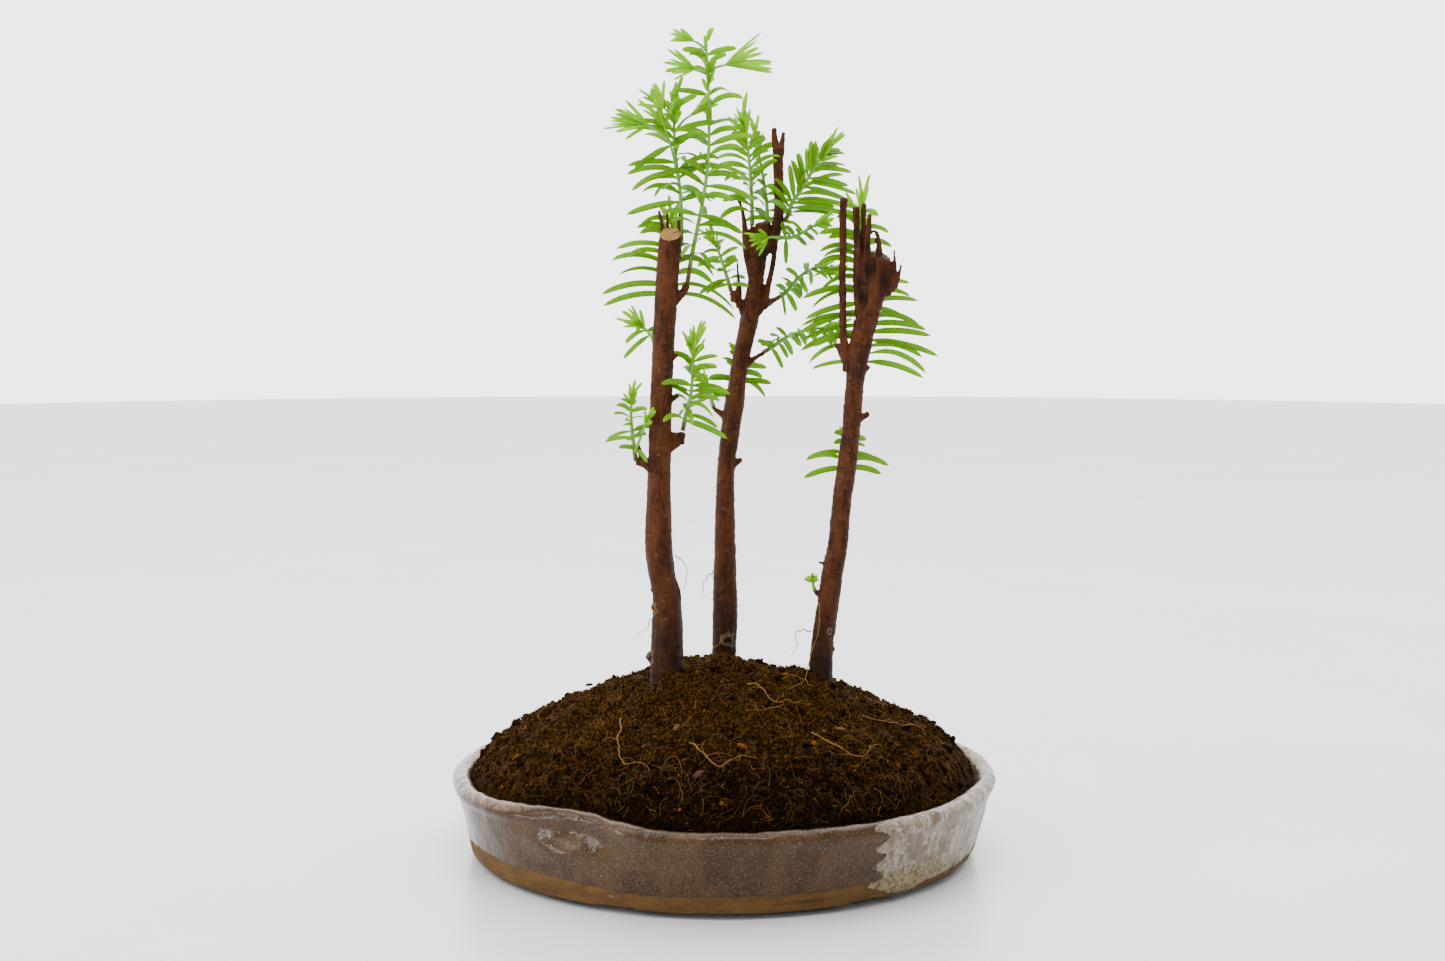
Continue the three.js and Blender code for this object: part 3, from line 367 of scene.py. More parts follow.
def join(tree, socket, value):
    """Links a socket to another, or sets it to a value or to a colour code."""
    if isinstance(value, bpy.types.NodeSocket):
        tree.links.new(value, socket)
    else:
        socket.default_value = linear(value) if isinstance(value, str) else value


def add_node(tree, kind, inputs, output=0, **settings):
    node = tree.nodes.new("ShaderNode" + kind)
    for key, value in settings.items():
        setattr(node, key, value)
    for key, value in inputs.items():
        join(tree, node.inputs[key], value)
    return node.outputs[output]


def ramp(tree, value, low, high, start, end):
    """From start at low to end at high, smooth between."""
    ends = {"From Min": low, "From Max": high, "To Min": start, "To Max": end}
    return add_node(tree, "MapRange", {"Value": value, **ends}, "Result", interpolation_type="SMOOTHSTEP")


class Finish:
    """A node material under construction. Sizes of patterns are in millimetres."""

    def __init__(self, name, **settings):
        self.material = bpy.data.materials.new(name)
        self.material.use_nodes = True
        self.tree = self.material.node_tree
        self.shader = self.tree.nodes["Principled BSDF"]
        self.set(**settings)
        self.place = self.node("TexCoord", {}, "Object")
        self.tones = None

    def set(self, **settings):
        for socket, value in settings.items():
            join(self.tree, self.shader.inputs[socket.replace("_", " ")], value)

    def node(self, *what, **settings):
        return add_node(self.tree, *what, **settings)

    def tone(self, channel):
        """A number painted on the mesh: 0, 1 or 2."""
        if self.tones is None:
            painted = self.node("Attribute", {}, "Color", attribute_name="tone")
            self.tones = self.node("SeparateColor", {"Color": painted}).node.outputs
        return self.tones[channel]

    def stretched(self, x, y, z, turn=(0, 0, 0)):
        """The place, with patterns drawn out by these factors along each axis."""
        return self.node("Mapping", {"Vector": self.place, "Scale": (1 / x, 1 / y, 1 / z), "Rotation": turn})

    def noise(self, size, detail=3.0, roughness=0.55, where=None):
        pattern = {"Scale": 1 / (size * MM), "Detail": detail, "Roughness": roughness}
        return self.node("TexNoise", {"Vector": where or self.place, **pattern}, "Fac")

    def cells(self, size, where=None):
        return self.node("TexVoronoi", {"Vector": where or self.place, "Scale": 1 / (size * MM)}, "Distance")

    def step(self, value, low, high):
        """0 below low, 1 above high, and smooth between; reversed if low is above high."""
        ends = (high, low, 1.0, 0.0) if low > high else (low, high, 0.0, 1.0)
        return ramp(self.tree, value, *ends)

    def math(self, kind, a, b):
        return self.node("Math", {0: a, 1: b}, operation=kind)

    def times(self, a, b):
        return self.math("MULTIPLY", a, b)

    def plus(self, a, b):
        return self.math("ADD", a, b)

    def ragged(self, value, noise, amount):
        """A value moved up and down by a pattern."""
        return self.plus(value, self.times(self.math("SUBTRACT", noise, 0.5), amount))

    def mix(self, share, a, b):
        return self.node("Mix", {0: share, 6: a, 7: b}, 2, data_type="RGBA")

    def layers(self, colour, *layers):
        """Colours laid over one another, each as where, which colour and, unless it's all of it, how much."""
        for where, over, *amount in layers:
            colour = self.mix(self.times(where, *amount) if amount else where, colour, over)
        return colour

    def bump(self, height, depth, strength):
        """Raises the surface by depth millimetres where height goes from 0 to 1."""
        normal = self.shader.inputs["Normal"]
        before = {"Normal": normal.links[0].from_socket} if normal.links else {}
        relief = {"Strength": strength, "Distance": depth * MM, "Height": height}
        self.set(Normal=self.node("Bump", {**relief, **before}))


def glazed_stoneware():
    """Painted: 0 the bare clay, 1 the thick pale glaze, 2 the lip where the glaze thins."""
    f = Finish("glazed_stoneware", Specular_IOR_Level=0.2)
    fine = f.noise(0.9, 3, 0.7)
    rust = f.noise(9, 4, 0.65, f.stretched(1.6, 1.6, 1))
    body = f.layers(
        f.mix(f.step(f.noise(14, 4, 0.6), 0.36, 0.64), "362413", "48341f"),
        (f.step(fine, 0.5, 0.68), "655036", 0.7),
        (f.step(f.noise(0.5, 3, 0.75), 0.47, 0.36), "1f160d", 0.8),
        (f.times(f.step(f.cells(1.5), 0.2, 0.1), f.step(f.noise(3.1), 0.46, 0.54)), "8f8470", 0.5),
        (f.times(f.step(f.cells(2.4), 0.2, 0.13), f.step(f.noise(5.3), 0.42, 0.5)), "120c08", 0.9),
        (f.times(f.step(rust, 0.53, 0.66), f.step(fine, 0.4, 0.6)), "563412", 0.5))
    lip = f.layers(
        f.mix(f.step(f.noise(1.6, 4, 0.7), 0.42, 0.62), "80695a", "5c4636"),
        (f.step(f.cells(2.6), 0.2, 0.12), "2a1a10"))
    thin = f.step(f.plus(f.tone(2), f.times(f.noise(2.2, 4, 0.7), 0.5)), 0.72, 1.0)
    fringe = f.times(f.step(f.tone(2), 0.12, 0.3), f.step(f.tone(2), 0.62, 0.42))
    fringe = f.times(fringe, f.step(f.noise(3, 4, 0.7), 0.4, 0.55))

    streaks = f.stretched(1, 1, 2.6, (0.6, 0.5, 0.3))
    height = f.times(f.node("SeparateXYZ", {"Vector": f.place}, "Z"), 1 / MM)
    low = f.plus(height, f.times(f.noise(4, 4, 0.7), -16))
    crust = f.mix(f.step(f.noise(1.8, 4, 0.75), 0.42, 0.6), "8a7c4e", "4a3820")
    pale = f.layers(
        f.mix(f.step(f.noise(3.2, 5, 0.7, streaks), 0.38, 0.62), "9c9283", "6c5b47"),
        (f.step(f.noise(12, 4, 0.65), 0.46, 0.58), "6b5744", 0.8),
        (f.step(f.noise(5, 4, 0.65), 0.56, 0.64), "a49f92", 0.7),
        (f.step(f.noise(1.3, 4, 0.75, streaks), 0.6, 0.7), "4e3d2c"),
        (f.step(f.cells(2.0), 0.2, 0.1), "2a2018"),
        (f.step(low, 8, 3), crust, 0.85))
    thick = f.step(f.ragged(f.tone(1), f.noise(4.5, 4, 0.6), 0.55), 0.47, 0.53)

    clay = f.layers(
        f.mix(f.step(f.noise(5, 4, 0.6, f.stretched(3, 3, 1)), 0.35, 0.7), "5f431f", "4a3519"),
        (f.step(f.noise(0.8, 3, 0.7), 0.58, 0.72), "6b5330"),
        (f.step(f.cells(2.3), 0.13, 0.08), "1d130d"),
        (f.step(f.noise(7, 3, 0.6, f.stretched(2, 2, 0.6)), 0.66, 0.74), "5f5549"))
    bare_edge = f.ragged(f.tone(0), f.noise(4, 4, 0.6), 0.35)
    bare = f.step(bare_edge, 0.42, 0.6)
    seam = f.times(f.step(bare_edge, 0.38, 0.47), f.step(bare_edge, 0.6, 0.5))
    # Painted shade: everything below about 2 mm, the feet and the flat underside, is painted near black as the shade
    # under the pot.
    under = f.step(f.plus(height, f.times(f.noise(6, 3, 0.6), -0.8)), 2.4, 1.7)
    f.set(Base_Color=f.layers(
        body, (thin, lip, 0.8), (fringe, "3a2010", 0.8), (thick, pale), (bare, clay), (seam, "241810", 0.35),
        (f.times(seam, f.step(f.tone(1), 0.4, 0.6)), "1a100a", 0.8), (under, "060403")))

    shine = f.plus(f.plus(f.times(fine, 0.12), 0.05), f.times(thick, 0.12))
    f.set(Roughness=f.math("MAXIMUM", shine, f.times(bare, 0.82)))
    f.bump(f.noise(1.5, 3, 0.6), 0.28, 0.55)
    f.bump(f.step(f.cells(2.9), 0.2, 0.1), -0.35, 0.5)
    f.bump(f.times(thick, f.noise(2.4, 5, 0.65, streaks)), 0.9, 0.7)
    f.bump(f.noise(0.5, 2, 0.6), 0.08, 0.6)
    return f.material


def coir_soil():
    """Painted: 0 how pale and golden the soil is, 1 a random number for each crumb."""
    f = Finish("coir_soil", Roughness=0.92, Specular_IOR_Level=0.03)
    speck, between = f.noise(0.9, 5, 0.75), f.cells(1.5)
    share = f.ragged(f.ragged(f.tone(0), f.noise(6, 3, 0.6), 1.0), f.tone(1), 0.9)
    shreds = f.noise(0.9, 3, 0.7, f.stretched(4, 1, 1, (0.4, 0.2, 0.6)))
    f.set(Base_Color=f.layers(
        f.mix(f.step(speck, 0.4, 0.6), "0a0401", "221003"),
        (f.step(share, 0.2, 0.8), f.mix(f.step(speck, 0.38, 0.6), "1e1002", "4e3206")),
        # Painted shade: the gaps between crumbs are painted near black as the shade that falls in them.
        (f.step(between, 0.38, 0.62), "080300", 0.75),
        (f.step(shreds, 0.62, 0.7), "6e4a10", 0.6),
        (f.step(f.tone(1), 0.95, 0.98), "6b4210")))
    f.bump(between, -1.0, 0.9)
    f.bump(f.noise(0.5, 3, 0.7), 0.35, 0.9)
    return f.material


def coir_fibre():
    """Painted: 0 how bright the fibre is."""
    f = Finish("coir_fibre", Roughness=0.7, Specular_IOR_Level=0.2)
    colour = f.mix(f.tone(0), "3c2404", "835c1a")
    f.set(Base_Color=f.mix(f.step(f.noise(2.5, 3, 0.6), 0.5, 0.65), colour, "5a3a0c"))
    return f.material


def bark():
    """Painted: 0 damp and dark, which in the rotted hollows is also painted shade, 1 cut wood, or callus where it is
    low, 2 scars and knots.
    """
    f = Finish("bark", Specular_IOR_Level=0.1)
    grain = f.noise(1.3, 5, 0.65, f.stretched(1, 1, 3.5))
    fine = f.noise(0.5, 4, 0.7, f.stretched(1, 1, 1.6))
    broad = f.noise(7, 4, 0.6, f.stretched(1, 1, 2.2))
    bands = f.noise(1.3, 3, 0.6, f.stretched(7, 7, 1))
    marks = f.cells(3.4, f.stretched(1.5, 1.5, 0.75))
    wood = f.layers(
        f.mix(f.step(f.noise(0.7, 3, 0.6), 0.35, 0.65), "8a6434", "b98d55"),
        (f.step(f.noise(3, 3, 0.6), 0.56, 0.7), "63401c"))
    f.set(Base_Color=f.layers(
        f.mix(f.step(grain, 0.36, 0.64), "31160a", "4c2710"),
        (f.step(broad, 0.42, 0.62), "5a3014", 0.55),
        (f.step(broad, 0.46, 0.34), "29140b", 0.6),
        (f.step(fine, 0.56, 0.7), "6d472a", 0.45),
        (f.step(fine, 0.42, 0.3), "180b04", 0.6),
        (f.step(bands, 0.56, 0.66), "1c0d06", 0.45),
        (f.step(f.noise(3.5, 4, 0.65), 0.6, 0.7), "5a4a3c", 0.35),
        (f.step(marks, 0.15, 0.08), "85664b", 0.35),
        (f.step(f.ragged(f.tone(2), grain, 0.8), 0.35, 0.75), "150b06", 0.8),
        (f.tone(0), "120a03", 0.8),
        (f.times(f.step(f.tone(1), 0.08, 0.25), f.step(fine, 0.35, 0.55)), "6f6253", 0.7),
        (f.step(f.tone(1), 0.4, 0.6), wood)))
    f.set(Roughness=f.plus(f.times(fine, 0.3), 0.42))
    f.bump(grain, 0.5, 0.6)
    f.bump(fine, 0.2, 0.7)
    return f.material


def leaf():
    """Painted: 0 how young the leaf is, 1 a random number for each leaf, 2 the share of its width from the midrib."""
    f = Finish("leaf", Roughness=0.42, Specular_IOR_Level=0.25)
    colour = f.layers(
        f.mix(f.tone(1), "5a8e00", "7cb800"),
        (f.tone(0), f.mix(f.tone(1), "93d800", "bcec20")),
        (f.step(f.noise(2.2, 3, 0.6), 0.4, 0.65), "387404", 0.25),
        (f.step(f.tone(2), 0.24, 0.1), "7fb635", 0.35))
    f.set(Base_Color=colour)
    f.bump(f.noise(0.6, 2, 0.5), 0.06, 0.5)
    through = f.node("BsdfTranslucent", {"Color": f.mix(0.5, colour, "c2e400")})
    both = f.node("MixShader", {0: 0.5, 1: f.shader.outputs[0], 2: through})
    join(f.tree, f.tree.nodes["Material Output"].inputs["Surface"], both)
    return f.material


def green_stem():
    """Painted: 0 from the woody foot to the soft tip."""
    f = Finish("green_stem", Roughness=0.45, Specular_IOR_Level=0.25)
    mottled = f.step(f.noise(1.5, 3, 0.6, f.stretched(1, 1, 3)), 0.45, 0.65)
    f.set(Base_Color=f.layers(
        f.mix(f.step(f.tone(0), 0.0, 0.35), "4d3a10", "6ca43a"), (mottled, "86bc54", 0.4)))
    f.bump(f.noise(0.5, 2, 0.5), 0.08, 0.5)
    return f.material


def black_plastic():
    f = Finish("screen_plastic", Roughness=0.55)
    f.set(Base_Color=f.mix(f.noise(1.5, 4, 0.7), "121212", "2a2825"))
    f.bump(f.noise(0.8, 3, 0.6), 0.1, 0.5)
    return f.material


def clip_wire():
    f = Finish("clip_wire", Metallic=0.9)
    tarnish = f.noise(2, 4, 0.6)
    f.set(Base_Color=f.mix(f.step(tarnish, 0.4, 0.65), "8d7a66", "4f3f33"))
    f.set(Roughness=f.plus(f.times(tarnish, 0.4), 0.3))
    f.bump(f.noise(0.4, 2, 0.6), 0.05, 0.5)
    return f.material


# ---- Pot ----

# Where the base's lower edge is stepped, as an angle and a rise
BASE_CHIPS = [(-118, 0.7), (-64, 0.9), (-96, 0.4), (30, 0.6), (130, 0.7)]


def turned_angle(angle, degrees):
    """An angle measured from the one in degrees, from -pi to pi."""
    return (angle - math.radians(degrees) + math.pi) % FULL_TURN - math.pi


def dent_and_wave(angle):
    """How far the dent at the front left, steeper on its right side, and the hand's unevenness move the rim."""
    off = turned_angle(angle, math.degrees(DENT_ANGLE))
    dent = bell(off, np.where(off < 0, *DENT_SPREAD))
    return dent, RIM_WAVE * (np.sin(3 * angle + 1) * 0.6 + np.sin(5 * angle) * 0.4)


def hand_formed(places):
    """Presses in the dent and the unevenness of hand work, as the CAD does."""
    x, y, z = places.T
    angle, radius, height = np.arctan2(y, x), np.hypot(x, y), smoothstep(z, FLOOR, RIM_HEIGHT)
    dent, wave = dent_and_wave(angle)
    radius = radius + height * (wave - DENT_DEPTH * dent) * np.sign(radius)
    return round_axis(angle, radius, z + height**2 * DENT_RISE * dent)


def bend(start, middle, end, steps):
    return line_bent(*(np.array([*p, 0.0]) for p in (start, middle, end)), steps).points[1:, :2]


def pot_profile():
    """Radius and height from the middle of the underside round to the middle of the floor's top."""
    lip = LIP_THICKNESS / 2
    turn = np.linspace(0, math.pi, 19)[1:, None]
    corner = (BASE_RADIUS + FLARE / 20, FOOT_HEIGHT + BASE_ROUND)
    under_lip = (RIM_RADIUS - LIP_SWELL, LIP_FOOT - 2 * LIP_SWELL)
    wall_foot = BASE_RADIUS - WALL
    inner_foot = (wall_foot, FLOOR_TOP + CORNER_HEIGHT)
    floor_edge = (wall_foot - CORNER_ROUND, FLOOR_TOP)
    under = np.column_stack([np.linspace(1, BASE_RADIUS - BASE_ROUND, 40), np.full(40, FOOT_HEIGHT)])
    floor = np.column_stack([np.linspace(floor_edge[0], 1, 40)[1:], np.full(39, FLOOR_TOP)])
    mouth = np.array([[MOUTH_RADIUS, LIP_FOOT], inner_foot])
    return np.vstack([
        under,
        bend(under[-1], (BASE_RADIUS, FOOT_HEIGHT), corner, 8),
        bend(corner, (BASE_RADIUS + FLARE / 3, LIP_FOOT / 2), under_lip, 34),
        bend(under_lip, (RIM_RADIUS - 0.3, LIP_FOOT - 1.6), (RIM_RADIUS, LIP_FOOT), 6),
        np.hstack([RIM_RADIUS - lip + lip * np.cos(turn), LIP_FOOT + LIP_HEIGHT * np.sin(turn)]),
        mouth[0] + (mouth[1] - mouth[0]) * np.linspace(0, 1, 13)[1:, None],
        bend(inner_foot, (wall_foot - CORNER_ROUND / 6, FLOOR_TOP), floor_edge, 6),
        floor,
    ])


def pot_bowl():
    """The fired bowl, its surface uneven and its tones painted on."""
    profile = pot_profile()
    angle = np.tile(np.linspace(0, FULL_TURN, POT_SIDES, endpoint=False), len(profile))
    radius, height = (np.repeat(profile[:, k], POT_SIDES) for k in (0, 1))
    flat = round_axis(angle, radius, height)
    outward = round_axis(angle, 1.0, np.zeros(len(angle)))
    outside = smoothstep(radius, BASE_RADIUS - 6, BASE_RADIUS) * smoothstep(height, 1.9, 6)
    rim = smoothstep(height, LIP_FOOT - 4, RIM_HEIGHT)
    # A patch of thick pale glaze with a scalloped edge, at the front right
    reach = PATCH_REACH + math.radians(1.6) * np.sin(height * 0.75 + 1)
    patch = np.clip(0.5 + (reach - np.abs(turned_angle(angle, PATCH_ANGLE))) / math.radians(12), 0, 1)

    uneven = 0.45 * lumps(flat, 22.0, 3, 1) + 0.12 * lumps(flat, 4.0, 2, 2)
    uneven += patch * (0.5 + 0.45 * lumps(flat * [1, 1, 0.35], 5.0, 3, 5))
    from_thumb = turned_angle(angle, THUMB_ANGLE)
    uneven += 1.7 * bell(from_thumb, 0.12) * bell(height - 22, 4)
    tilted = height + 3 * from_thumb / 0.2
    pressed = 1.2 * bell(tilted - 21, 5) - 1.3 * bell(tilted - 32, 4) + 0.16 * lumps(flat, 2.6, 2, 9)
    uneven += bell(from_thumb, 0.2) * pressed
    crack = bell(height - 6.2 - 0.5 * np.sin(14 * angle), 0.5) * bell(turned_angle(angle, -73) ** 2, 0.13**2)
    uneven -= 0.9 * crack
    places = hand_formed(flat)
    places += outward * (uneven * outside + 0.25 * rim * lumps(flat, 4.0, 2, 8))[:, None]
    edge = smoothstep(radius, BASE_RADIUS - 8, BASE_RADIUS - 2) * smoothstep(height, 8, 3)
    steps = sum(
        rise * smoothstep(turned_angle(angle, chip), 0, 0.03) * smoothstep(turned_angle(angle, chip + 9), 0.05, 0)
        for chip, rise in BASE_CHIPS)
    places[:, 2] += edge * (0.45 * lumps(flat, 30.0, 2, 3) + steps)
    places[:, 2] += rim * (0.35 * lumps(flat, 12.0, 3, 6) + 0.22 * lumps(flat, 3.0, 2, 7))

    # The clay is bare below a wavy line, lower where the pale glaze has run
    band = 11.2 + 1.3 * np.sin(angle * 2 + 0.6) + 0.8 * np.sin(angle * 5 + 1.0) + 0.35 * np.sin(angle * 11)
    run = bell(turned_angle(angle, -50), math.radians(6))
    band -= smoothstep(patch, 0.3, 0.7) * (3.2 + 5 * run)
    band -= 1.3 * bell(turned_angle(angle, -140), math.radians(35))
    bare = np.where(
        radius < BASE_RADIUS - 3, (height < FOOT_HEIGHT + 1) * 1.0, np.clip(0.5 + (band - height) / 6, 0, 1))
    # The glaze is thin and pale on the lip at the left, at the back and over the patch
    pale_lip = smoothstep(np.abs(turned_angle(angle, -85)), math.radians(35), math.radians(58))
    faces = [ring_faces(len(profile), POT_SIDES), *ring_caps(len(profile), POT_SIDES)]
    return mesh_from("pot", places, faces, np.column_stack([bare, patch * outside, rim * 0.85 * pale_lip]))


def make_feet():
    """Four low feet, a little rounded, standing into the bowl."""
    outer = BASE_RADIUS - FOOT_INSET
    inner = outer - FOOT_WIDTH
    rows = [(inner + 0.4, FOOT_HEIGHT + 1), (inner, 0.7), (inner + 0.7, 0.0), (outer - 0.7, 0.0),
            (outer, 0.7), (outer - 0.4, FOOT_HEIGHT + 1)]
    trim = math.asin((FOOT_NOTCH / 2) / (inner + FOOT_WIDTH / 2))
    feet, ends = Heap(), []
    for quarter in np.arange(4) * math.pi / 2:
        turn = np.linspace(quarter + trim, quarter + math.pi / 2 - trim, 60)
        ends += [cap[:, ::-1] + feet.count for cap in ring_caps(len(turn), len(rows))]
        vertices = [(r * math.cos(a), r * math.sin(a), z) for a in turn for r, z in rows]
        # The feet are bare clay, and the glaze material paints them near black as painted shade, as it does
        # everything below about 2 mm.
        feet.add(vertices, ring_faces(len(turn), len(rows))[:, ::-1], tone=(1, 0, 0))
    mesh = feet.mesh("feet", ends)
    set_smooth(mesh, False)
    return mesh


def make_pot(material):
    bowl = linked("bowl", pot_bowl())
    drills = []
    for side in (-1, 1):
        place = Matrix.Translation((side * DRAIN_OFFSET * MM, 0, 0))
        cone = reworked(bpy.data.meshes.new("drill"), lambda bm: bmesh.ops.create_cone(
            bm, segments=64, radius1=DRAIN_RADIUS * MM, radius2=DRAIN_RADIUS * MM, depth=0.03, cap_ends=True,
            matrix=place))
        drills.append(linked("drill", cone))
        cut = bowl.modifiers.new("hole", "BOOLEAN")
        cut.operation, cut.solver, cut.object = "DIFFERENCE", "EXACT", drills[-1]
    piece("glazed_pot", settled_mesh(bowl, *drills), material, ("pot",))
    piece("pot_feet", make_feet(), material)


# ---- Soil ----

# Soil drawn up round the feet of the trunks, and a dip between, as x, y and rise
HEAPS = [
    (-25, -30, 5.0), (-14, -20, 4.0), (0.7, 14, 1.5), (43, -20, 5.0), (34, -8, 6.0), (50, -8, 3.0), (15, 12, -2.0),
    (22, 4, -1.5),
]


def soil_height(x, y):
    """Height of the even mound, as in the CAD."""
    reach = np.minimum(np.hypot(x, y) / SOIL_RADIUS, 1)
    slope = MOUND_SHARE * reach**MOUND_SLOPE + (1 - MOUND_SHARE) * reach**EDGE_STEEPNESS
    broad = np.sin(x * 0.11 + 0.6) * np.cos(y * 0.13 + 0.4)
    fine = np.sin(x * 0.31 + y * 0.19) * np.cos(y * 0.27 - x * 0.16 + 2)
    uneven = SOIL_LUMP * (broad + 0.8 * fine)
    return SOIL_EDGE + MOUND_RISE * (1 - slope) + uneven * smoothstep(1 - reach, 0, EDGE_CALM)


def on_soil(x, y, roughness=1.0):
    """Points on the crumbly surface for places in the round opening, moved in with the dented wall."""
    angle, radius = np.arctan2(y, x), np.hypot(x, y)
    dent, wave = dent_and_wave(angle)
    outer = np.clip(radius / SOIL_RADIUS, 0, 1) ** 5
    moved = radius + outer * (wave - (DENT_DEPTH + 0.4) * dent)
    even = np.column_stack([x, y, np.zeros(len(x))])
    calm = smoothstep(1 - radius / SOIL_RADIUS, -0.01, 0.05)
    crumbs = 1.5 * lumps(even, 9.0, 2, 11) + 1.15 * lumps(even, 3.2, 3, 12)
    heaped = sum(rise * bell(np.hypot(x - a, y - b), HEAP_REACH) for a, b, rise in HEAPS)
    height = soil_height(x, y) + outer**3 * DENT_RISE * dent + heaped + (crumbs * roughness - 1.2) * calm
    return round_axis(angle, moved, height)


def soil_lightness(places):
    """Paler and more golden towards the middle of the mound, darker towards the rim and darkest by the rim at the
    front.
    """
    reach = np.hypot(places[:, 0], places[:, 1]) / SOIL_RADIUS
    front = smoothstep(-places[:, 1], 50, 110)
    return np.clip(0.75 - 0.25 * reach**3 - 0.45 * front, 0, 1)


def make_soil(material):
    """A disc of evenly spaced vertices heaped into the mound, closed below by the inside of the pot."""
    step = np.linspace(-1, 1, SOIL_CELLS + 1)
    a, b = (side.ravel() for side in np.meshgrid(step, step, indexing="ij"))
    wide = np.abs(a) > np.abs(b)
    with np.errstate(divide="ignore", invalid="ignore"):
        angle = np.nan_to_num(np.where(wide, math.pi / 4 * b / a, math.pi / 2 - math.pi / 4 * a / b))
    radius = np.where(wide, a, b) * SOIL_RADIUS
    x, y = radius * np.cos(angle), radius * np.sin(angle)
    index = np.arange((SOIL_CELLS + 1) ** 2).reshape(SOIL_CELLS + 1, -1)
    border = np.concatenate([index[:-1, 0], index[-1, :-1], index[:0:-1, -1], index[0, :0:-1]])
    loop = len(border)
    vertices = [on_soil(x, y)]
    faces = [np.stack([index[:-1, :-1], index[1:, :-1], index[1:, 1:], index[:-1, 1:]], -1).reshape(-1, 4)]
    here, base = border, len(x)
    wall_foot = BASE_RADIUS - WALL - SOIL_GAP
    for reach, depth in ((SOIL_RADIUS - 2.5, 24.0), (wall_foot, 16.2), (wall_foot - 5, 10.5),
                         (wall_foot - CORNER_ROUND, FLOOR_TOP + SOIL_GAP)):
        ring = np.column_stack([x[border], y[border]]) / SOIL_RADIUS * reach
        vertices.append(hand_formed(np.column_stack([ring, np.full(loop, depth)])))
        now = base + np.arange(loop)
        faces.append(np.column_stack([here, np.roll(here, -1), np.roll(now, -1), now])[:, ::-1])
        here, base = now, base + loop
    faces.append(here[None, :])
    every = np.vstack(vertices)
    tones = np.column_stack([soil_lightness(every), 0.5 + 0.25 * lumps(every, 2.2, 3, 14), np.zeros(len(every))])
    mesh = mesh_from("soil", every, faces, tones)
    reworked(mesh, lambda bm: bmesh.ops.recalc_face_normals(bm, faces=bm.faces))
    piece("soil_surface", mesh, material, ("soil_mound",))


def lump_shapes(detail, count, random):
    """Unit lumps of different irregular shapes, as vertices and triangles."""
    bm = bmesh.new()
    bmesh.ops.create_icosphere(bm, subdivisions=detail, radius=1.0)
    ball = np.array([v.co for v in bm.verts])
    triangles = np.array([[v.index for v in f.verts] for f in bm.faces])
    bm.free()
    return [ball * (1 + random.uniform(-0.32, 0.32, (len(ball), 1))) for _ in range(count)], triangles


def random_turns(count, random):
    """Rotation matrices."""
    w, x, y, z = unit(random.normal(size=(count, 4))).T
    return np.stack([
        np.stack([1 - 2 * (y * y + z * z), 2 * (x * y - z * w), 2 * (x * z + y * w)], -1),
        np.stack([2 * (x * y + z * w), 1 - 2 * (x * x + z * z), 2 * (y * z - x * w)], -1),
        np.stack([2 * (x * z - y * w), 2 * (y * z + x * w), 1 - 2 * (x * x + y * y)], -1),
    ], 1)


def scatter(heap, centres, sizes, shapes, triangles, random, lightness):
    """Adds a lump at each centre, turned at random, with its own tone."""
    turns = random_turns(len(centres), random)
    for kind, shape in enumerate(shapes):
        chosen = np.arange(kind, len(centres), len(shapes))
        stretched = shape[None] * sizes[chosen][:, None, :]
        placed = np.einsum("nij,nkj->nki", turns[chosen], stretched) + centres[chosen][:, None, :]
        faces = triangles[None] + (np.arange(len(chosen)) * len(shape))[:, None, None]
        tones = np.zeros((len(chosen), len(shape), 3))
        tones[..., 0] = lightness[chosen][:, None]
        tones[..., 1] = random.random(len(chosen))[:, None]
        heap.add(placed.reshape(-1, 3), None, faces.reshape(-1, 3), tones.reshape(-1, 3))


def disc_places(count, random, reach=0.992):
    radius = SOIL_RADIUS * reach * np.sqrt(random.random(count))
    angle = random.random(count) * 2 * math.pi
    return np.cos(angle) * radius, np.sin(angle) * radius


# Small crumbs and large ones, as detail, count, least and greatest size, and how much small ones outnumber the rest
CRUMBS = [(1, 9500, 0.4, 1.1, 2.0), (2, 1300, 1.0, 2.4, 3.0)]


def make_crumbs(material):
    random = np.random.default_rng(7)
    heap = Heap()
    for detail, count, small, large, power in CRUMBS:
        shapes, triangles = lump_shapes(detail, 9, random)
        places = on_soil(*disc_places(count, random))
        size = small + (large - small) * random.random(count) ** power
        sizes = size[:, None] * random.uniform([0.7, 0.45, 0.4], [1.5, 1.0, 0.9], (count, 3))
        scatter(heap, places + [0, 0, 0.1], sizes, shapes, triangles, random, soil_lightness(places))
    piece("soil_crumbs", heap.mesh("crumbs"), material)


def make_fibres(material):
    """Short curled coir strands lying in and on the soil."""
    random = np.random.default_rng(11)
    heap = Heap()
    for start in np.column_stack(disc_places(FIBRE_COUNT, random, 0.985)):
        length = 2.5 + 11 * random.random() ** 2.2
        heading = random.uniform(0, 2 * math.pi)
        curl = random.normal(0, 0.3)
        path = [start]
        for _ in range(FIBRE_STEPS):
            heading += curl + random.normal(0, 0.25)
            path.append(path[-1] + np.array([math.cos(heading), math.sin(heading)]) * length / FIBRE_STEPS)
        path = np.array(path)
        far = np.hypot(*path.T).max()
        if far > SOIL_RADIUS * 0.99:
            path *= SOIL_RADIUS * 0.97 / far
        points = on_soil(path[:, 0], path[:, 1], 0.8)
        stands = 2.2 if random.random() < 0.1 else 1.0
        arch = np.sin(np.linspace(0, math.pi, FIBRE_STEPS + 1)) * random.uniform(0.1, 0.09 * length + 0.4) * stands
        points[:, 2] += 0.45 + arch
        radius = random.uniform(0.06, 0.13)
        bright = random.random() ** 2.2
        strand = tube(line_through(points, 4), tapered(radius, 0.6), 3, 9, closed=False)
        heap.add(*strand, tone=(bright, random.random(), 0))
    piece("soil_fibres", heap.mesh("fibres"), material)


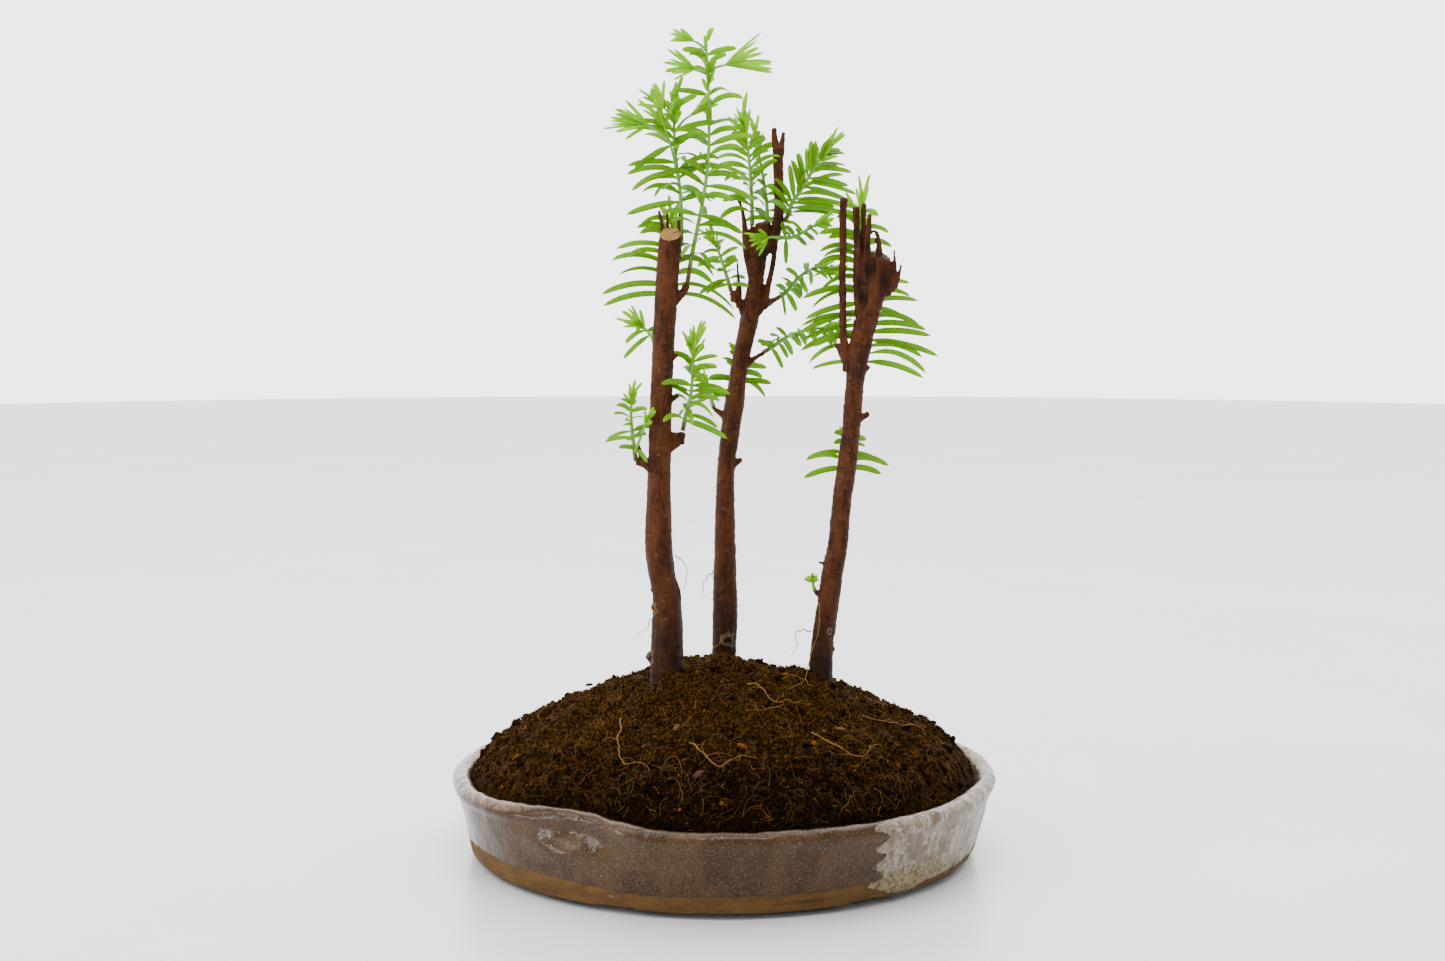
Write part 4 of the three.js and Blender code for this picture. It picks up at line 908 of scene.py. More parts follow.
# The longer loose roots, as angles in degrees and shares of the soil's radius
ROOT_FIBRES = [
    ((-70, 0.28), (-62, 0.42), (-48, 0.5)),
    ((-100, 0.7), (-92, 0.78), (-80, 0.74)),
    ((-60, 0.66), (-54, 0.78), (-42, 0.8)),
    ((-30, 0.62), (-20, 0.7), (-14, 0.82)),
    ((-128, 0.62), (-120, 0.76), (-108, 0.84)),
    ((120, 0.55), (100, 0.66), (84, 0.6)),
]


def make_root_fibres(material):
    """The longer roots that lie on the soil, each where its CAD node is, with its small kinks and side roots."""
    for number, ends in enumerate(ROOT_FIBRES, 1):
        random = np.random.default_rng(100 + number)
        angles, shares = np.array(ends).T
        plan = line_through(round_axis(np.radians(angles), shares * SOIL_RADIUS, 0 * shares))
        plan = plan.at(np.linspace(0, 1, 14))
        plan[1:-1, :2] += random.normal(0, 0.45, (12, 2))
        points = plan.copy()
        points[:, 2] = soil_height(plan[:, 0], plan[:, 1]) + 2.3 + 0.5 * np.sin(np.linspace(0, 9, 14))
        heap = Heap()
        heap.add(*tube(line_through(points, 8), tapered(0.34, 0.65), 6, 60), tone=(0.8, 0.5, 0))
        for share in (0.3, 0.55, 0.8):
            start = line_through(points).at(share)
            x, y = random.normal(0, 2.6, 2)
            side = [start, start + [x, y, 0.6], start + [x * 1.8, y * 1.5, -0.8]]
            heap.add(*tube(line_through(side, 8), tapered(0.14, 0.6), 4, 10), tone=(0.7, 0.3, 0))
        piece(f"root_{number}", heap.mesh("root"), material, (f"root_fibre_{number}",))


def refine(bm):
    bmesh.ops.remove_doubles(bm, verts=bm.verts, dist=1e-6)
    bmesh.ops.subdivide_edges(bm, edges=bm.edges, cuts=3, use_grid_fill=True, smooth=0.3)


def make_bark_chips(material):
    """Flakes of bark, each in the place and size of its CAD node."""
    for number in range(1, 6):
        random = np.random.default_rng(200 + number)
        node = f"bark_chip_{number}"
        flake = reworked(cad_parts[node].data.copy(), refine)
        places = places_of(flake)
        rough = lumps(places, 1.3, 3, 40 + number) * 0.28
        places += unit(places - np.mean(cad_box(node), axis=0)) * rough[:, None]
        put(flake, places)
        set_smooth(flake)
        paint(flake, random.random(len(places))[:, None] * [0, 0, 0.3])
        piece(f"flake_{number}", flake, material, (node,))


# ---- Trunks ----


def level(y, *points):
    """A limb that keeps to one depth, from its points as x, z and radius."""
    return [(x, y, z, radius) for x, z, radius in points]


# The limbs are the same lists of x, y, z and radius as in the CAD, and cut is a place and a normal. Drawn only:
# slender makes dead splinters thinner or thicker, knots are scars of shed twigs, burrs are lumps round the nodes,
# hollows are where wood has rotted away, painted dark both as rotted wood and as shade in the hollow, and callus is
# grey growth round old wounds, each as x, y, z and size.
TRUNKS = {
    "trunk_left": dict(
        cut=((-21.8, -22, 270.5), (0, -0.5, 0.87)), slender={8: 0.8, 9: 0.75, 10: 0.8},
        limbs=[
            level(
                -22, (-24, 22, 6), (-24, 60, 7.2), (-24, 90, 7.1), (-24.1, 114, 6.1), (-25.5, 122, 5.8),
                (-27.2, 134, 6), (-27.6, 142, 5.7), (-27.2, 166, 5.1), (-26.7, 188, 4.8), (-25.9, 210, 4.7),
                (-24.8, 232, 4.75), (-23.1, 257, 4.9), (-21.5, 278, 4.6),
            ),
            level(-22, (-24, 240, 3), (-19.4, 243.4, 2), (-15.8, 247, 1.6), (-15, 249.2, 1.5)),
            level(-22, (-22.8, 180, 2.6), (-20, 181.5, 2), (-17.8, 183.5, 1.7), (-17, 186, 1.5)),
            level(-22, (-20.8, 181, 1.3), (-20.3, 186, 1.5)),
            level(-22, (-29.5, 171, 3.2), (-34, 173.2, 2.5), (-37, 173.4, 1.6)),
            level(-22, (-34.3, 173.5, 1.6), (-35.6, 178.5, 1.1), (-36.5, 181.5, 1)),
            level(-22, (-24, 199, 1.8), (-19, 202, 0.7)), level(-22, (-24, 216.5, 1.8), (-19.2, 219.4, 0.9)),
            [(-25, -19, 260, 1.7), (-25.8, -17.2, 274, 1), (-27.2, -16.5, 280.5, 0.8)],
            [(-19.5, -19, 260, 2), (-18.9, -17.4, 274, 1.3), (-18.2, -16.5, 280, 0.7)],
            [(-22.6, -19, 262, 1.6), (-23.4, -17.2, 275.5, 0.9), (-23.6, -16.8, 280, 0.5)],
            [(-28, -23, 87, 2.8), (-32.6, -24, 90, 1.7)], [(-25.5, -24, 110, 2.8), (-30.2, -25.5, 111.5, 1.5)],
            level(-22, (-27, 117.4, 1.8), (-31.2, 118.2, 0.8)),
            level(-23, (-20.9, 123, 1.2), (-18.9, 117, 1.1), (-18.1, 111.3, 0.6)),
        ],
        knots=[
            (-23.4, -27, 258.6, 1.5), (-25.6, -27, 242.6, 1.8), (-26.5, -27, 229.9, 1.4), (-28.7, -27, 208.8, 1.8),
            (-25, -27, 196, 1.3), (-28.8, -27, 170.4, 1.7), (-28.4, -27, 157.6, 1.4), (-23.3, -27, 149, 1.8),
            (-25.9, -27.5, 131.7, 1.6), (-24, -28.5, 104, 1.9), (-21, -16, 140, 1.9), (-29, -17, 190, 1.8),
            (-24, -17, 222, 1.7), (-20, -17, 120, 1.9),
        ],
        burrs=[(-33, -24, 173.5, 2.4), (-31, -25.5, 170.5, 1.8), (-17.6, -23.5, 182.6, 2.1), (-16, -22.5, 248, 1.9)],
        hollows=[], callus=[(-30.2, -27, 110, 2.4), (-31.5, -25, 89, 2.4)],
    ),
    "trunk_middle": dict(
        cut=((18.4, 25, 277), (-0.12, -0.2, 0.97)), slender={4: 0.8, 5: 0.85, 8: 0.85},
        limbs=[
            level(
                25, (0.7, 22, 5), (0.7, 82, 5.6), (1.3, 106.5, 5.6), (1.2, 125, 5.1), (1.1, 137, 4.9),
                (1.3, 162, 4.2), (3.6, 185, 4.3), (5.4, 197, 4.3), (7, 208, 3.9), (9, 219.6, 3.9), (11.4, 231, 4.1),
                (13.5, 242, 4), (15.2, 253, 3.6), (16.8, 265, 3.8), (18.6, 282, 3.2),
            ),
            level(
                25, (15.5, 261, 3.2), (20.5, 267, 2.9), (24, 273.5, 2.5), (25.2, 281, 2.4), (25.2, 293, 2.3),
                (24.9, 304, 2.4), (25, 310, 2.5),
            ),
            level(25, (24.5, 307, 1.9), (23.2, 314, 1.3), (22.9, 318.5, 0.9)),
            level(25, (25.8, 307, 1.8), (26.8, 313, 1.1), (27.3, 316.8, 0.9)),
            level(25, (14, 236, 2.6), (18.6, 241.5, 1.9), (20.4, 249.2, 1.6), (22.6, 259.4, 1.5), (23.8, 270, 1.5)),
            level(25, (14.5, 252, 3.2), (11.5, 265, 2.6), (10.2, 272.5, 1.9), (8.7, 282.5, 1.2), (5.2, 292.6, 0.8)),
            level(25, (12, 265, 1.5), (13.2, 275.5, 1)), level(25, (12, 234, 3), (6.8, 242.4, 2.1), (4, 246, 1.4)),
            level(25, (7, 243, 1.9), (7.3, 248.5, 1.5), (6.9, 255, 0.8), (6.5, 261, 0.6)),
            level(25, (18.5, 239.8, 2), (21.5, 241.8, 1.5), (23.9, 242.9, 0.8)),
            level(25, (9, 212.5, 2.2), (14.5, 216.4, 1.2), (18.5, 219, 0.8)),
            level(25, (5, 187, 2.6), (-0.5, 191.3, 1.5), (-3.8, 193.5, 0.9)),
            level(25, (3, 167.5, 2.6), (8.6, 170.8, 1.2)),
        ],
        knots=[
            (14.9, 21, 255.8, 2.6), (12.3, 21, 242.5, 1.4), (8.7, 21, 222.4, 1.5), (5.6, 21, 206.7, 1.4),
            (2.5, 21, 184.3, 1.6), (-0.2, 21, 161.7, 1.4), (0.7, 20, 139, 1.5), (-0.2, 20, 111.7, 1.7),
            (3, 29, 150, 1.6), (4, 29, 195, 1.5), (10, 29, 230, 1.5), (0, 30, 120, 1.7),
        ],
        burrs=[(5, 23, 243, 2.3), (7.2, 21.6, 240, 1.7), (20.5, 23, 242, 1.9), (15, 22.5, 216.6, 1.3)],
        hollows=[(11, 22, 262, 1.8), (19.5, 22, 262, 1.8), (20, 28, 268, 2)], callus=[(2.6, 19.6, 89, 3)],
    ),
    "trunk_right": dict(
        cut=((67.4, -12, 261.5), (0.15, -0.35, 0.92)), slender={1: 0.62, 2: 0.6, 3: 0.62, 6: 0.8, 7: 0.6, 8: 1.15},
        limbs=[
            level(
                -12, (43.2, 22, 4.6), (43.2, 76.8, 5.3), (43.3, 88, 5.2), (44.2, 97.6, 4.9), (46.2, 112, 4.75),
                (48, 125, 4.7), (50.2, 137, 4.3), (51.8, 155, 4.2), (53.8, 170, 4.4), (55.5, 184, 4.2),
                (57.4, 208, 4), (58.5, 217, 4.5), (60.1, 226, 4.8), (63.6, 240, 5), (67, 251, 5.3), (67.8, 259, 4.7),
                (67.6, 265.5, 3.8),
            ),
            level(-12, (60, 236, 3), (58.6, 256, 2.9), (57.7, 268, 2.5), (57.3, 282, 1.7)),
            [(61, -11, 242, 2.8), (60.7, -10, 268, 2.2), (60.8, -10, 283.5, 1.2)],
            level(-13, (61.5, 250, 2.4), (62.4, 270, 2.1), (63.3, 279.5, 1.3)),
            level(-12, (67.4, 262, 1.2), (67, 269, 0.7), (65.4, 272, 0.6), (62.6, 271, 0.9)),
            [(62, -12, 236.5, 2.6), (67, -13, 238.8, 1.7)],
            level(-12, (68, 247, 2.6), (73.6, 248, 1.6), (75.4, 252, 1.2), (76.8, 257.5, 0.5)),
            [(70.5, -12, 246, 2.6), (74, -12.5, 255, 1.5), (73.4, -13, 264, 0.9)],
            level(
                -12, (57.5, 212, 3.4), (53.4, 219, 2.4), (52.3, 226, 1.6), (51.7, 247, 1.35), (51.6, 262, 1.3),
                (51.7, 275, 1.35), (52.2, 285.8, 1.2),
            ),
            level(-12, (53.5, 216, 1.9), (49, 223.6, 0.9)), level(-12, (57, 189.5, 2), (63.2, 193.8, 1.1)),
            level(-12, (58.5, 210.5, 2.2), (63.6, 214.2, 0.8)), level(-12, (46.5, 127.6, 1.3), (41.8, 128.8, 0.4)),
            level(-12, (44.5, 113.4, 2), (40.2, 116, 1.1)), level(-12, (45.5, 89.6, 1.8), (49.2, 90.8, 0.9)),
        ],
        knots=[
            (54.5, -16, 183.7, 2.2), (51.3, -16, 146.4, 2), (59.1, -16, 211.7, 1.8), (47.9, -16.4, 130.3, 1.6),
            (53.2, -16.1, 165, 1.2), (57, -16, 199, 1.3), (45.5, -16.6, 106, 1.5), (64, -16.5, 237, 2),
            (50, -7.8, 140, 1.6), (55, -7.8, 180, 1.6), (46, -7.4, 112, 1.7),
        ],
        burrs=[
            (60.5, -16.3, 236, 1.7), (63.2, -16.4, 234.5, 1.5), (66, -14.8, 236.5, 2), (57.6, -15, 233, 1.8),
            (53.4, -13.5, 213.5, 2.3), (52, -14, 217, 1.5), (71, -13, 246, 2.4), (73.5, -13.5, 249.5, 1.4),
            (63.2, -13.6, 258, 1.5), (61.4, -14.4, 262, 1.2), (66.5, -12, 268, 1), (51.8, -13.2, 284.5, 1.1),
            (51.4, -13, 270, 0.9), (52.6, -12.8, 256, 0.9), (51, -12.8, 242, 0.9),
        ],
        hollows=[
            (62.6, -16, 256, 3), (60.2, -15.5, 243, 2.4), (70.2, -16, 251, 2.6), (58.6, -15, 250, 1.8),
            (62, -15, 266, 2), (66, -8, 250, 3),
        ],
        callus=[(47, -16.8, 99, 1.6)],
    ),
}


def limb_line(limb):
    line = line_through([p[:3] for p in limb])
    radii = [p[3] for p in limb]
    return line, lambda share: np.interp(share, line.stations, radii)


def cut_limb(vertices, quads, triangles, at, normal):
    """The part of a limb below a slanted cut, closed by the flat face of the cut."""
    bm = bmesh.new()
    bm.from_mesh(mesh_from("limb", vertices, [quads, triangles]))
    found = bmesh.ops.bisect_plane(
        bm, geom=bm.verts[:] + bm.edges[:] + bm.faces[:], plane_co=Vector(at) * MM, plane_no=Vector(normal),
        clear_outer=True)
    edges = [g for g in found["geom_cut"] if isinstance(g, bmesh.types.BMEdge)]
    bmesh.ops.edgeloop_fill(bm, edges=edges)
    bmesh.ops.triangulate(bm, faces=bm.faces)
    bm.verts.ensure_lookup_table()
    bm.verts.index_update()
    cut = np.array([v.co for v in bm.verts]) / MM
    triangles = np.array([[v.index for v in f.verts] for f in bm.faces])
    bm.free()
    return cut, None, triangles


def trunk_skin(trunk):
    """One skin round all the limbs and burrs."""
    heap = Heap()
    for number, limb in enumerate(trunk["limbs"]):
        line, radius_at = limb_line(limb)
        thin = trunk["slender"].get(number, 1.0)
        solid = tube(
            line, lambda t: radius_at(t) * lerp(1, thin, smoothstep(t, 0.1, 0.6)),
            LIMB_SIDES if number else TRUNK_SIDES, max(int(line.length / LIMB_ROW), 5))
        heap.add(*(solid if number else cut_limb(*solid, *trunk["cut"])))
    for x, y, z, radius in trunk["burrs"]:
        line = line_through([(x, y, z - radius * 0.6), (x, y, z + radius * 0.6)])
        heap.add(*tube(line, tapered(0.75 * radius, 0), 12, 4))
    thing = linked("scratch", heap.mesh("trunk"))
    skin = thing.modifiers.new("skin", "REMESH")
    skin.mode = "VOXEL"
    skin.voxel_size = TRUNK_VOXEL * MM
    soft = thing.modifiers.new("soft", "SMOOTH")
    soft.factor = 0.5
    soft.iterations = 3
    mesh = settled_mesh(thing)
    set_smooth(mesh)
    return mesh


def make_trunk(name, material):
    trunk = TRUNKS[name]
    mesh = trunk_skin(trunk)
    places, normals = places_of(mesh), places_of(mesh, "normal")

    def away(spot, flattened=1.0):
        return np.linalg.norm((places - spot) * [1, 1, flattened], axis=1)

    at, normal = (np.array(v, float) for v in trunk["cut"])
    normal = unit(normal)
    above = (places - at) @ normal
    across = np.linalg.norm((places - at) - above[:, None] * normal, axis=1)
    cut = (above > -0.35) & (normals @ normal > 0.8) & (across < CUT_REACH)
    broken = name == "trunk_right"
    torn = smoothstep(places[:, 2], TORN_FROM, TORN_TO) * broken
    relief = (0.14 + 0.5 * torn) * lumps(places * [1, 1, 0.14], 1.7, 4, 21)
    relief += 0.26 * lumps(places * [1, 1, 0.3], 5.0, 3, 22) + 0.16 * lumps(places * [0.25, 0.25, 1.0], 1.6, 2, 23)
    scars = np.zeros(len(places))
    for *centre, size in trunk["knots"]:
        distance = away(centre, 1.25) / size
        relief += 0.75 * bell(distance, 0.8) - 0.5 * bell(distance, 0.25)
        scars = np.maximum(scars, 0.7 * bell(distance - 0.8, 0.25) + bell(distance, 0.28))
    hollow_rot_and_shade = sum((bell(away(centre, 0.6), reach) for *centre, reach in trunk["hollows"]), np.zeros(len(places)))
    relief -= 1.7 * hollow_rot_and_shade
    if not broken:
        relief = np.where(cut, 0.06 * lumps(places, 0.8, 2, 24), relief)
    places += normals * relief[:, None]
    put(mesh, places)
    depth = soil_height(places[:, 0], places[:, 1]) - places[:, 2]
    damp = smoothstep(depth, -60, 0) * (0.9 + 0.35 * lumps(places, 7.0, 2, 25))
    bare = cut * float(name == "trunk_left")
    for *centre, size in trunk["callus"]:
        distance = away(centre) / size + 0.45 * lumps(places, 2.4, 3, 31)
        bare = np.maximum(bare, 0.3 * bell(distance - 0.9, 0.35))
    # Tone 0 is dark on the damp foot, the torn top and the hollows; in the hollows it stands for rotted wood and also
    # for painted shade.
    paint(mesh, np.column_stack([np.clip(damp + 0.2 * torn + hollow_rot_and_shade, 0, 1), bare, scars]))
    piece(name.replace("trunk", "wood"), mesh, material, (name,))


# ---- Shoots ----

# What a shoot has unless it says otherwise, and the shoots, as in the CAD
PLAIN = dict(
    pairs=0, first=0.12, last=0.95, length=18, turn=85, roll=0, spread=(75, 50), droop=0.32, tuft=3, tuftLength=8,
    twigs=[])

SHOOTS = {
    "shoot_left_a": dict(
        line=[
            (-17.6, -17, 266), (-17.7, -16, 282), (-18.6, -15, 293), (-19.8, -15, 302), (-20.6, -15, 315),
            (-20.6, -15, 327),
        ],
        pairs=7, first=0.3, length=21, roll=10, tuft=4, tuftLength=9,
        twigs=[
            dict(
                at=0.45, line=[(-21.5, -19, 306), (-24, -20, 314), (-26, -20, 320.5)], pairs=2, length=13, tuft=4,
                tuftLength=12,
                twigs=[dict(at=0.62, line=[(-30, -22, 315.3), (-33, -23, 316.2)], tuft=5, tuftLength=14)],
            ),
            dict(at=0.78, line=[(-16, -17, 319), (-12.5, -17, 321)], tuft=4, tuftLength=12),
            dict(at=0.86, line=[(-23, -13, 322), (-25, -12, 324.5)], tuft=4, tuftLength=11),
        ],
    ),
    "shoot_left_b": dict(
        line=[
            (-15, -22, 249.4), (-13, -21, 261.6), (-10.8, -20, 272.2), (-8.3, -19, 285), (-6.2, -18, 300.6),
            (-5.7, -17, 318.7), (-6.2, -16, 337.6), (-7, -16, 351),
        ],
        pairs=11, length=20, roll=60, tuft=3, tuftLength=6,
        twigs=[
            dict(at=0.89, line=[(-2, -16.5, 341), (2.5, -16.5, 342.2)], tuft=4, tuftLength=16),
            dict(at=0.88, line=[(-9.5, -17.5, 339), (-12.5, -18, 339.8)], tuft=3, tuftLength=11),
            dict(at=0.97, line=[(-10, -17, 350.6), (-13, -17.5, 352)], tuft=3, tuftLength=8),
        ],
    ),
    "shoot_left_c": dict(
        line=[(-23.3, -17.6, 237), (-22.3, -13, 246), (-21.7, -11, 264), (-22.2, -9, 278.6)], pairs=5, first=0.2,
        length=26, turn=12, droop=0.45, spread=(70, 60), tuft=4, tuftLength=10,
    ),
    "shoot_left_d": dict(
        line=[(-17, -22, 187), (-15.6, -22, 193.6), (-13.9, -22, 200), (-12.6, -22, 213), (-12.2, -22, 223)], pairs=7,
        length=16, turn=70, roll=15, tuft=4, tuftLength=10,
    ),
    "shoot_left_e": dict(
        line=[(-37.1, -22, 174), (-38.3, -23, 183), (-39.1, -23, 194), (-38.6, -23, 202)], pairs=4, first=0.35,
        length=10, tuft=2, tuftLength=6,
        twigs=[
            dict(
                at=0.12, line=[(-35.8, -25, 182), (-33.5, -27.5, 188), (-32, -28.5, 192)], pairs=2, length=7, tuft=2,
                tuftLength=5,
            ),
        ],
    ),
    "shoot_left_f": dict(
        line=[(-28.9, -17.5, 224), (-31.3, -13, 228), (-35, -11, 231.5)], pairs=2, first=0.5, length=11, tuft=3,
        tuftLength=10,
    ),
    "shoot_middle_a": dict(
        line=[(13.2, 25, 275.5), (13.2, 25.5, 284), (12.7, 26, 294), (11.4, 27, 309), (9.2, 28, 322)], pairs=8,
        length=19, turn=35, roll=20, tuft=4, tuftLength=11,
    ),
    "shoot_middle_b": dict(
        line=[(18, 28.4, 266), (20.2, 31, 277), (19.2, 34, 292), (16.9, 36, 305.4), (15.1, 38, 318)], pairs=6,
        first=0.25, length=10, turn=25, tuft=3, tuftLength=7,
    ),
    "shoot_middle_c": dict(
        line=[
            (27.4, 25, 277.5), (29.2, 24.6, 280), (31, 24, 285.6), (35, 23, 291.3), (39.8, 22, 299.2),
            (46.5, 22, 309),
        ],
        pairs=8, length=20, turn=8, droop=0.25, spread=(55, 35), tuft=4, tuftLength=11,
    ),
    "shoot_middle_d": dict(
        line=[
            (24, 22.8, 269.6), (26.4, 20, 270.2), (30, 18, 270), (34.4, 17, 271.7), (39.6, 16, 274.7), (44, 16, 277),
        ],
        pairs=5, first=0.25, length=10, turn=10, roll=60, spread=(85, 60), tuft=3, tuftLength=6,
        twigs=[dict(at=0.12, line=[(22.5, 18.6, 270.3), (19.5, 16, 270)], tuft=4, tuftLength=8)],
    ),
    "shoot_middle_e": dict(
        line=[(23.7, 25, 242.8), (28.1, 26, 245.6), (34.8, 27, 253), (41.6, 28, 256.8), (49.5, 29, 256.8)], pairs=7,
        length=11, turn=8, roll=60, spread=(85, 60), tuft=3, tuftLength=7,
    ),
    "shoot_middle_f": dict(
        line=[
            (18.3, 25, 219), (22.3, 25, 221.4), (28.1, 24, 225.5), (34.8, 23, 228.2), (43.7, 22, 230),
            (50.5, 21, 230.9),
        ],
        pairs=8, length=11, turn=8, roll=60, spread=(85, 60), tuft=3, tuftLength=7,
    ),
    "shoot_middle_g": dict(
        line=[(-3.8, 25, 193.6), (-5.6, 26, 199.3), (-8.8, 27, 206)], pairs=3, first=0.4, length=10, tuft=3,
        tuftLength=8,
    ),
    "shoot_middle_h": dict(
        line=[(3.9, 25, 246.3), (2, 25, 252.7), (-0.7, 25, 261.2), (-4, 25, 270)], pairs=5, length=11, turn=70,
        tuft=3, tuftLength=8,
    ),
    "shoot_middle_i": dict(
        line=[(6.5, 28.8, 200), (7.2, 33, 206), (8.4, 35, 212), (8, 38, 219.7)], pairs=5, first=0.3, length=13,
        turn=20, tuft=3, tuftLength=8,
    ),
    "shoot_right_a": dict(
        line=[(60, -8.6, 211), (62.2, -5, 217), (62.6, -3, 226), (61.6, -2, 247), (60.1, -2, 268.5), (60.5, -2, 284)],
        pairs=11, first=0.08, length=25, turn=6, droop=0.38, spread=(78, 60), tuft=4, tuftLength=12,
    ),
    "shoot_right_b": dict(
        line=[(53.5, -8, 164), (53.9, -5, 168), (53.6, -4, 175), (54.5, -3, 184)], pairs=3, first=0.3, length=16,
        turn=20, spread=(80, 70), tuft=2, tuftLength=6,
    ),
    "shoot_right_c": dict(line=[(40.4, -12, 116), (39.6, -12, 118.6), (39.4, -12, 120.6)], tuft=3, tuftLength=3.4),
}


def leaf_plan(shoot, seed):
    """Where the CAD has leaves: pairs along the stem and a tuft at its tip."""
    plan = []

    def draw(k):
        return chance(number + k) - 0.5

    for i in range(shoot["pairs"]):
        share = i / (shoot["pairs"] - 1) if shoot["pairs"] > 1 else 0
        for side in (0, 180):
            number = seed + i * 7.3 + side * 0.31
            plan.append(dict(
                t=lerp(shoot["first"], shoot["last"], share),
                around=shoot["roll"] + side + i * shoot["turn"] + draw(1) * 24,
                spread=lerp(*shoot["spread"], share) + draw(2) * 16,
                length=shoot["length"] * (1 - 0.45 * share**2) * (1 + draw(3) * 0.25),
                droop=shoot["droop"] * (1 + draw(4) * 0.5), young=0.3 * share**2,
                width=1.0 if shoot["length"] > 12 else 0.8))
    for i in range(shoot["tuft"]):
        number = seed + 91 + i * 5.7
        plan.append(dict(
            t=1 - (0.3 * i) / shoot["tuft"], around=(360 * i) / shoot["tuft"] + draw(1) * 30,
            spread=24 + draw(2) * 18 if i else 4, length=shoot["tuftLength"] * (1 + draw(3) * 0.3), droop=0.08,
            young=0.75, width=0.68))
    return plan


def strayed(plan, seed):
    """The same leaves, each a little off its even place."""
    for place in plan:
        off = chance(seed + place["around"] * 0.7) - 0.5
        place["around"] += 50 * off
        place["spread"] -= 34 * off
        place["droop"] *= 1 + off
    return plan


def extra_plan(shoot, seed):
    """More leaves between those of the CAD, and a fan of young ones round each tip."""
    step = (shoot["last"] - shoot["first"]) / max(shoot["pairs"] - 1, 1)
    between = dict(
        shoot, first=shoot["first"] + step / 2, last=shoot["last"] - step / 2 + 0.001, tuft=0,
        pairs=max(shoot["pairs"] - 1, 0), roll=shoot["roll"] + shoot["turn"] / 2 + 8, length=shoot["length"] * 1.12)
    plan = strayed(leaf_plan(between, seed + 500), seed)
    bud = shoot["pairs"] == 0 and shoot["tuftLength"] < 7
    fan = (3 if bud else 2) * shoot["tuft"]
    for i in range(fan):
        turn, lean, size = (chance(seed + 291 + i * 4.3 + k) - 0.5 for k in (1, 2, 3))
        plan.append(dict(
            t=1 - (0.2 * i) / fan, around=(360 * (i + 0.5)) / fan + turn * 40,
            spread=(55 if bud else 26) + lean * 34, length=shoot["tuftLength"] * (1.0 + size * 0.5), droop=0.06,
            young=1.0, width=0.6))
    return plan


class Room:
    """Balls along every piece of wood, stem and leaf that is already there."""

    def __init__(self):
        self.owners, self.places, self.radii = [], [], []

    def take(self, owner, line, radius_at, count):
        shares = np.linspace(0, 1, count + 1)
        self.owners.append(np.full(count + 1, owner))
        self.places.append(line.at(shares))
        self.radii.append(radius_at(shares))

    def settle(self):
        for kept in (self.owners, self.places, self.radii):
            kept[:] = [np.concatenate(kept)]

    def is_clear(self, owner, line):
        spots = line.at(np.array([0.2, 0.35, 0.5, 0.65, 0.8, 1]))
        for owners, places, radii in zip(self.owners, self.places, self.radii):
            others = owners != owner
            near = np.linalg.norm(places[others][:, None] - spots[None], axis=-1)
            if (near <= radii[others][:, None] + LEAF_WIDTH / 2 + LEAF_GAP).any():
                return False
        return True


def leaf_room(share):
    """Half the width of a CAD leaf."""
    return np.where(share < 0.5, lerp(0.3, 1, share * 2), lerp(1, 0, share * 2 - 1)) * LEAF_WIDTH / 2


def find_leaf(room, owner, place, line):
    """The line of a leaf, turned if need be to clear its neighbours."""
    base, tangent = line.at(place["t"]), line.heading(place["t"])
    reference = UP if abs(tangent[0]) > 0.75 else ACROSS
    first = unit(reference - tangent * reference.dot(tangent))
    second = np.cross(tangent, first)
    for turned in LEAF_TRIES:
        around, spread = math.radians(place["around"] + turned), math.radians(place["spread"])
        outward = first * math.cos(around) + second * math.sin(around)
        direction = tangent * math.cos(spread) + outward * math.sin(spread)
        length = place["length"] * BLADE_LENGTH
        tip = base + direction * length * 0.93 - UP * place["droop"] * length
        blade = line_bent(base, base + direction * length * 0.5, tip)
        if room.is_clear(owner, blade):
            room.take(owner, blade, leaf_room, 12)
            return blade
    return None


def add_blade(heap, blade, place, chosen):
    """A narrow leaf: a shallow V along a raised midrib, pointed at its tip, and tilted by chance."""
    shares = np.linspace(0, 1, BLADE_ROWS)
    middles, headings = blade.at(shares), blade.heading(shares)
    along = headings[BLADE_ROWS // 2]
    even = unit(np.cross(along, FRONT if abs(along[1]) < 0.85 else UP))
    tilt = math.radians((chosen - 0.5) * 110)
    wide = even * math.cos(tilt) + np.cross(along, even) * math.sin(tilt)
    wide = unit(wide - headings * (headings @ wide)[:, None])
    thick = np.cross(wide, headings)
    thick *= np.sign(thick[:, 2].mean()) or 1
    pointed = np.sqrt(np.clip(1 - (np.clip(shares - 0.55, 0, 1) / 0.45) ** 2.5, 0.001, 1))
    half = lerp(0.35, 1.0, smoothstep(shares, 0, 0.3)) * pointed * BLADE_WIDTH * place["width"] / 2
    section = wide[:, None] * BLADE_ACROSS[:, None] + thick[:, None] * BLADE_HEIGHT[:, None]
    tones = np.zeros((BLADE_ROWS, 8, 3))
    tones[..., 0] = np.clip(place["young"] + 0.25 * shares[:, None] - 0.1, 0, 1)
    tones[..., 1] = chosen
    tones[..., 2] = np.abs(BLADE_ACROSS)
    vertices = middles[:, None] + section * half[:, None, None]
    heap.add(vertices.reshape(-1, 3), ring_faces(BLADE_ROWS, 8), tone=tones.reshape(-1, 3))


def stem_lines(shoot, parent=None):
    """Each stem of a shoot: what it says of itself, its line, and whether it is a twig."""
    own = {**PLAIN, **shoot}
    foot = [] if parent is None else [parent.at(own["at"])]
    line = line_through([*foot, *own["line"]])
    found = [(own, line, parent is not None)]
    for twig in own["twigs"]:
        found += stem_lines(twig, line)
    return found


def stem_radius(is_twig, swollen=1.0):
    return tapered(STEM_RADIUS * (0.7 if is_twig else 1) * swollen, STEM_TAPER)


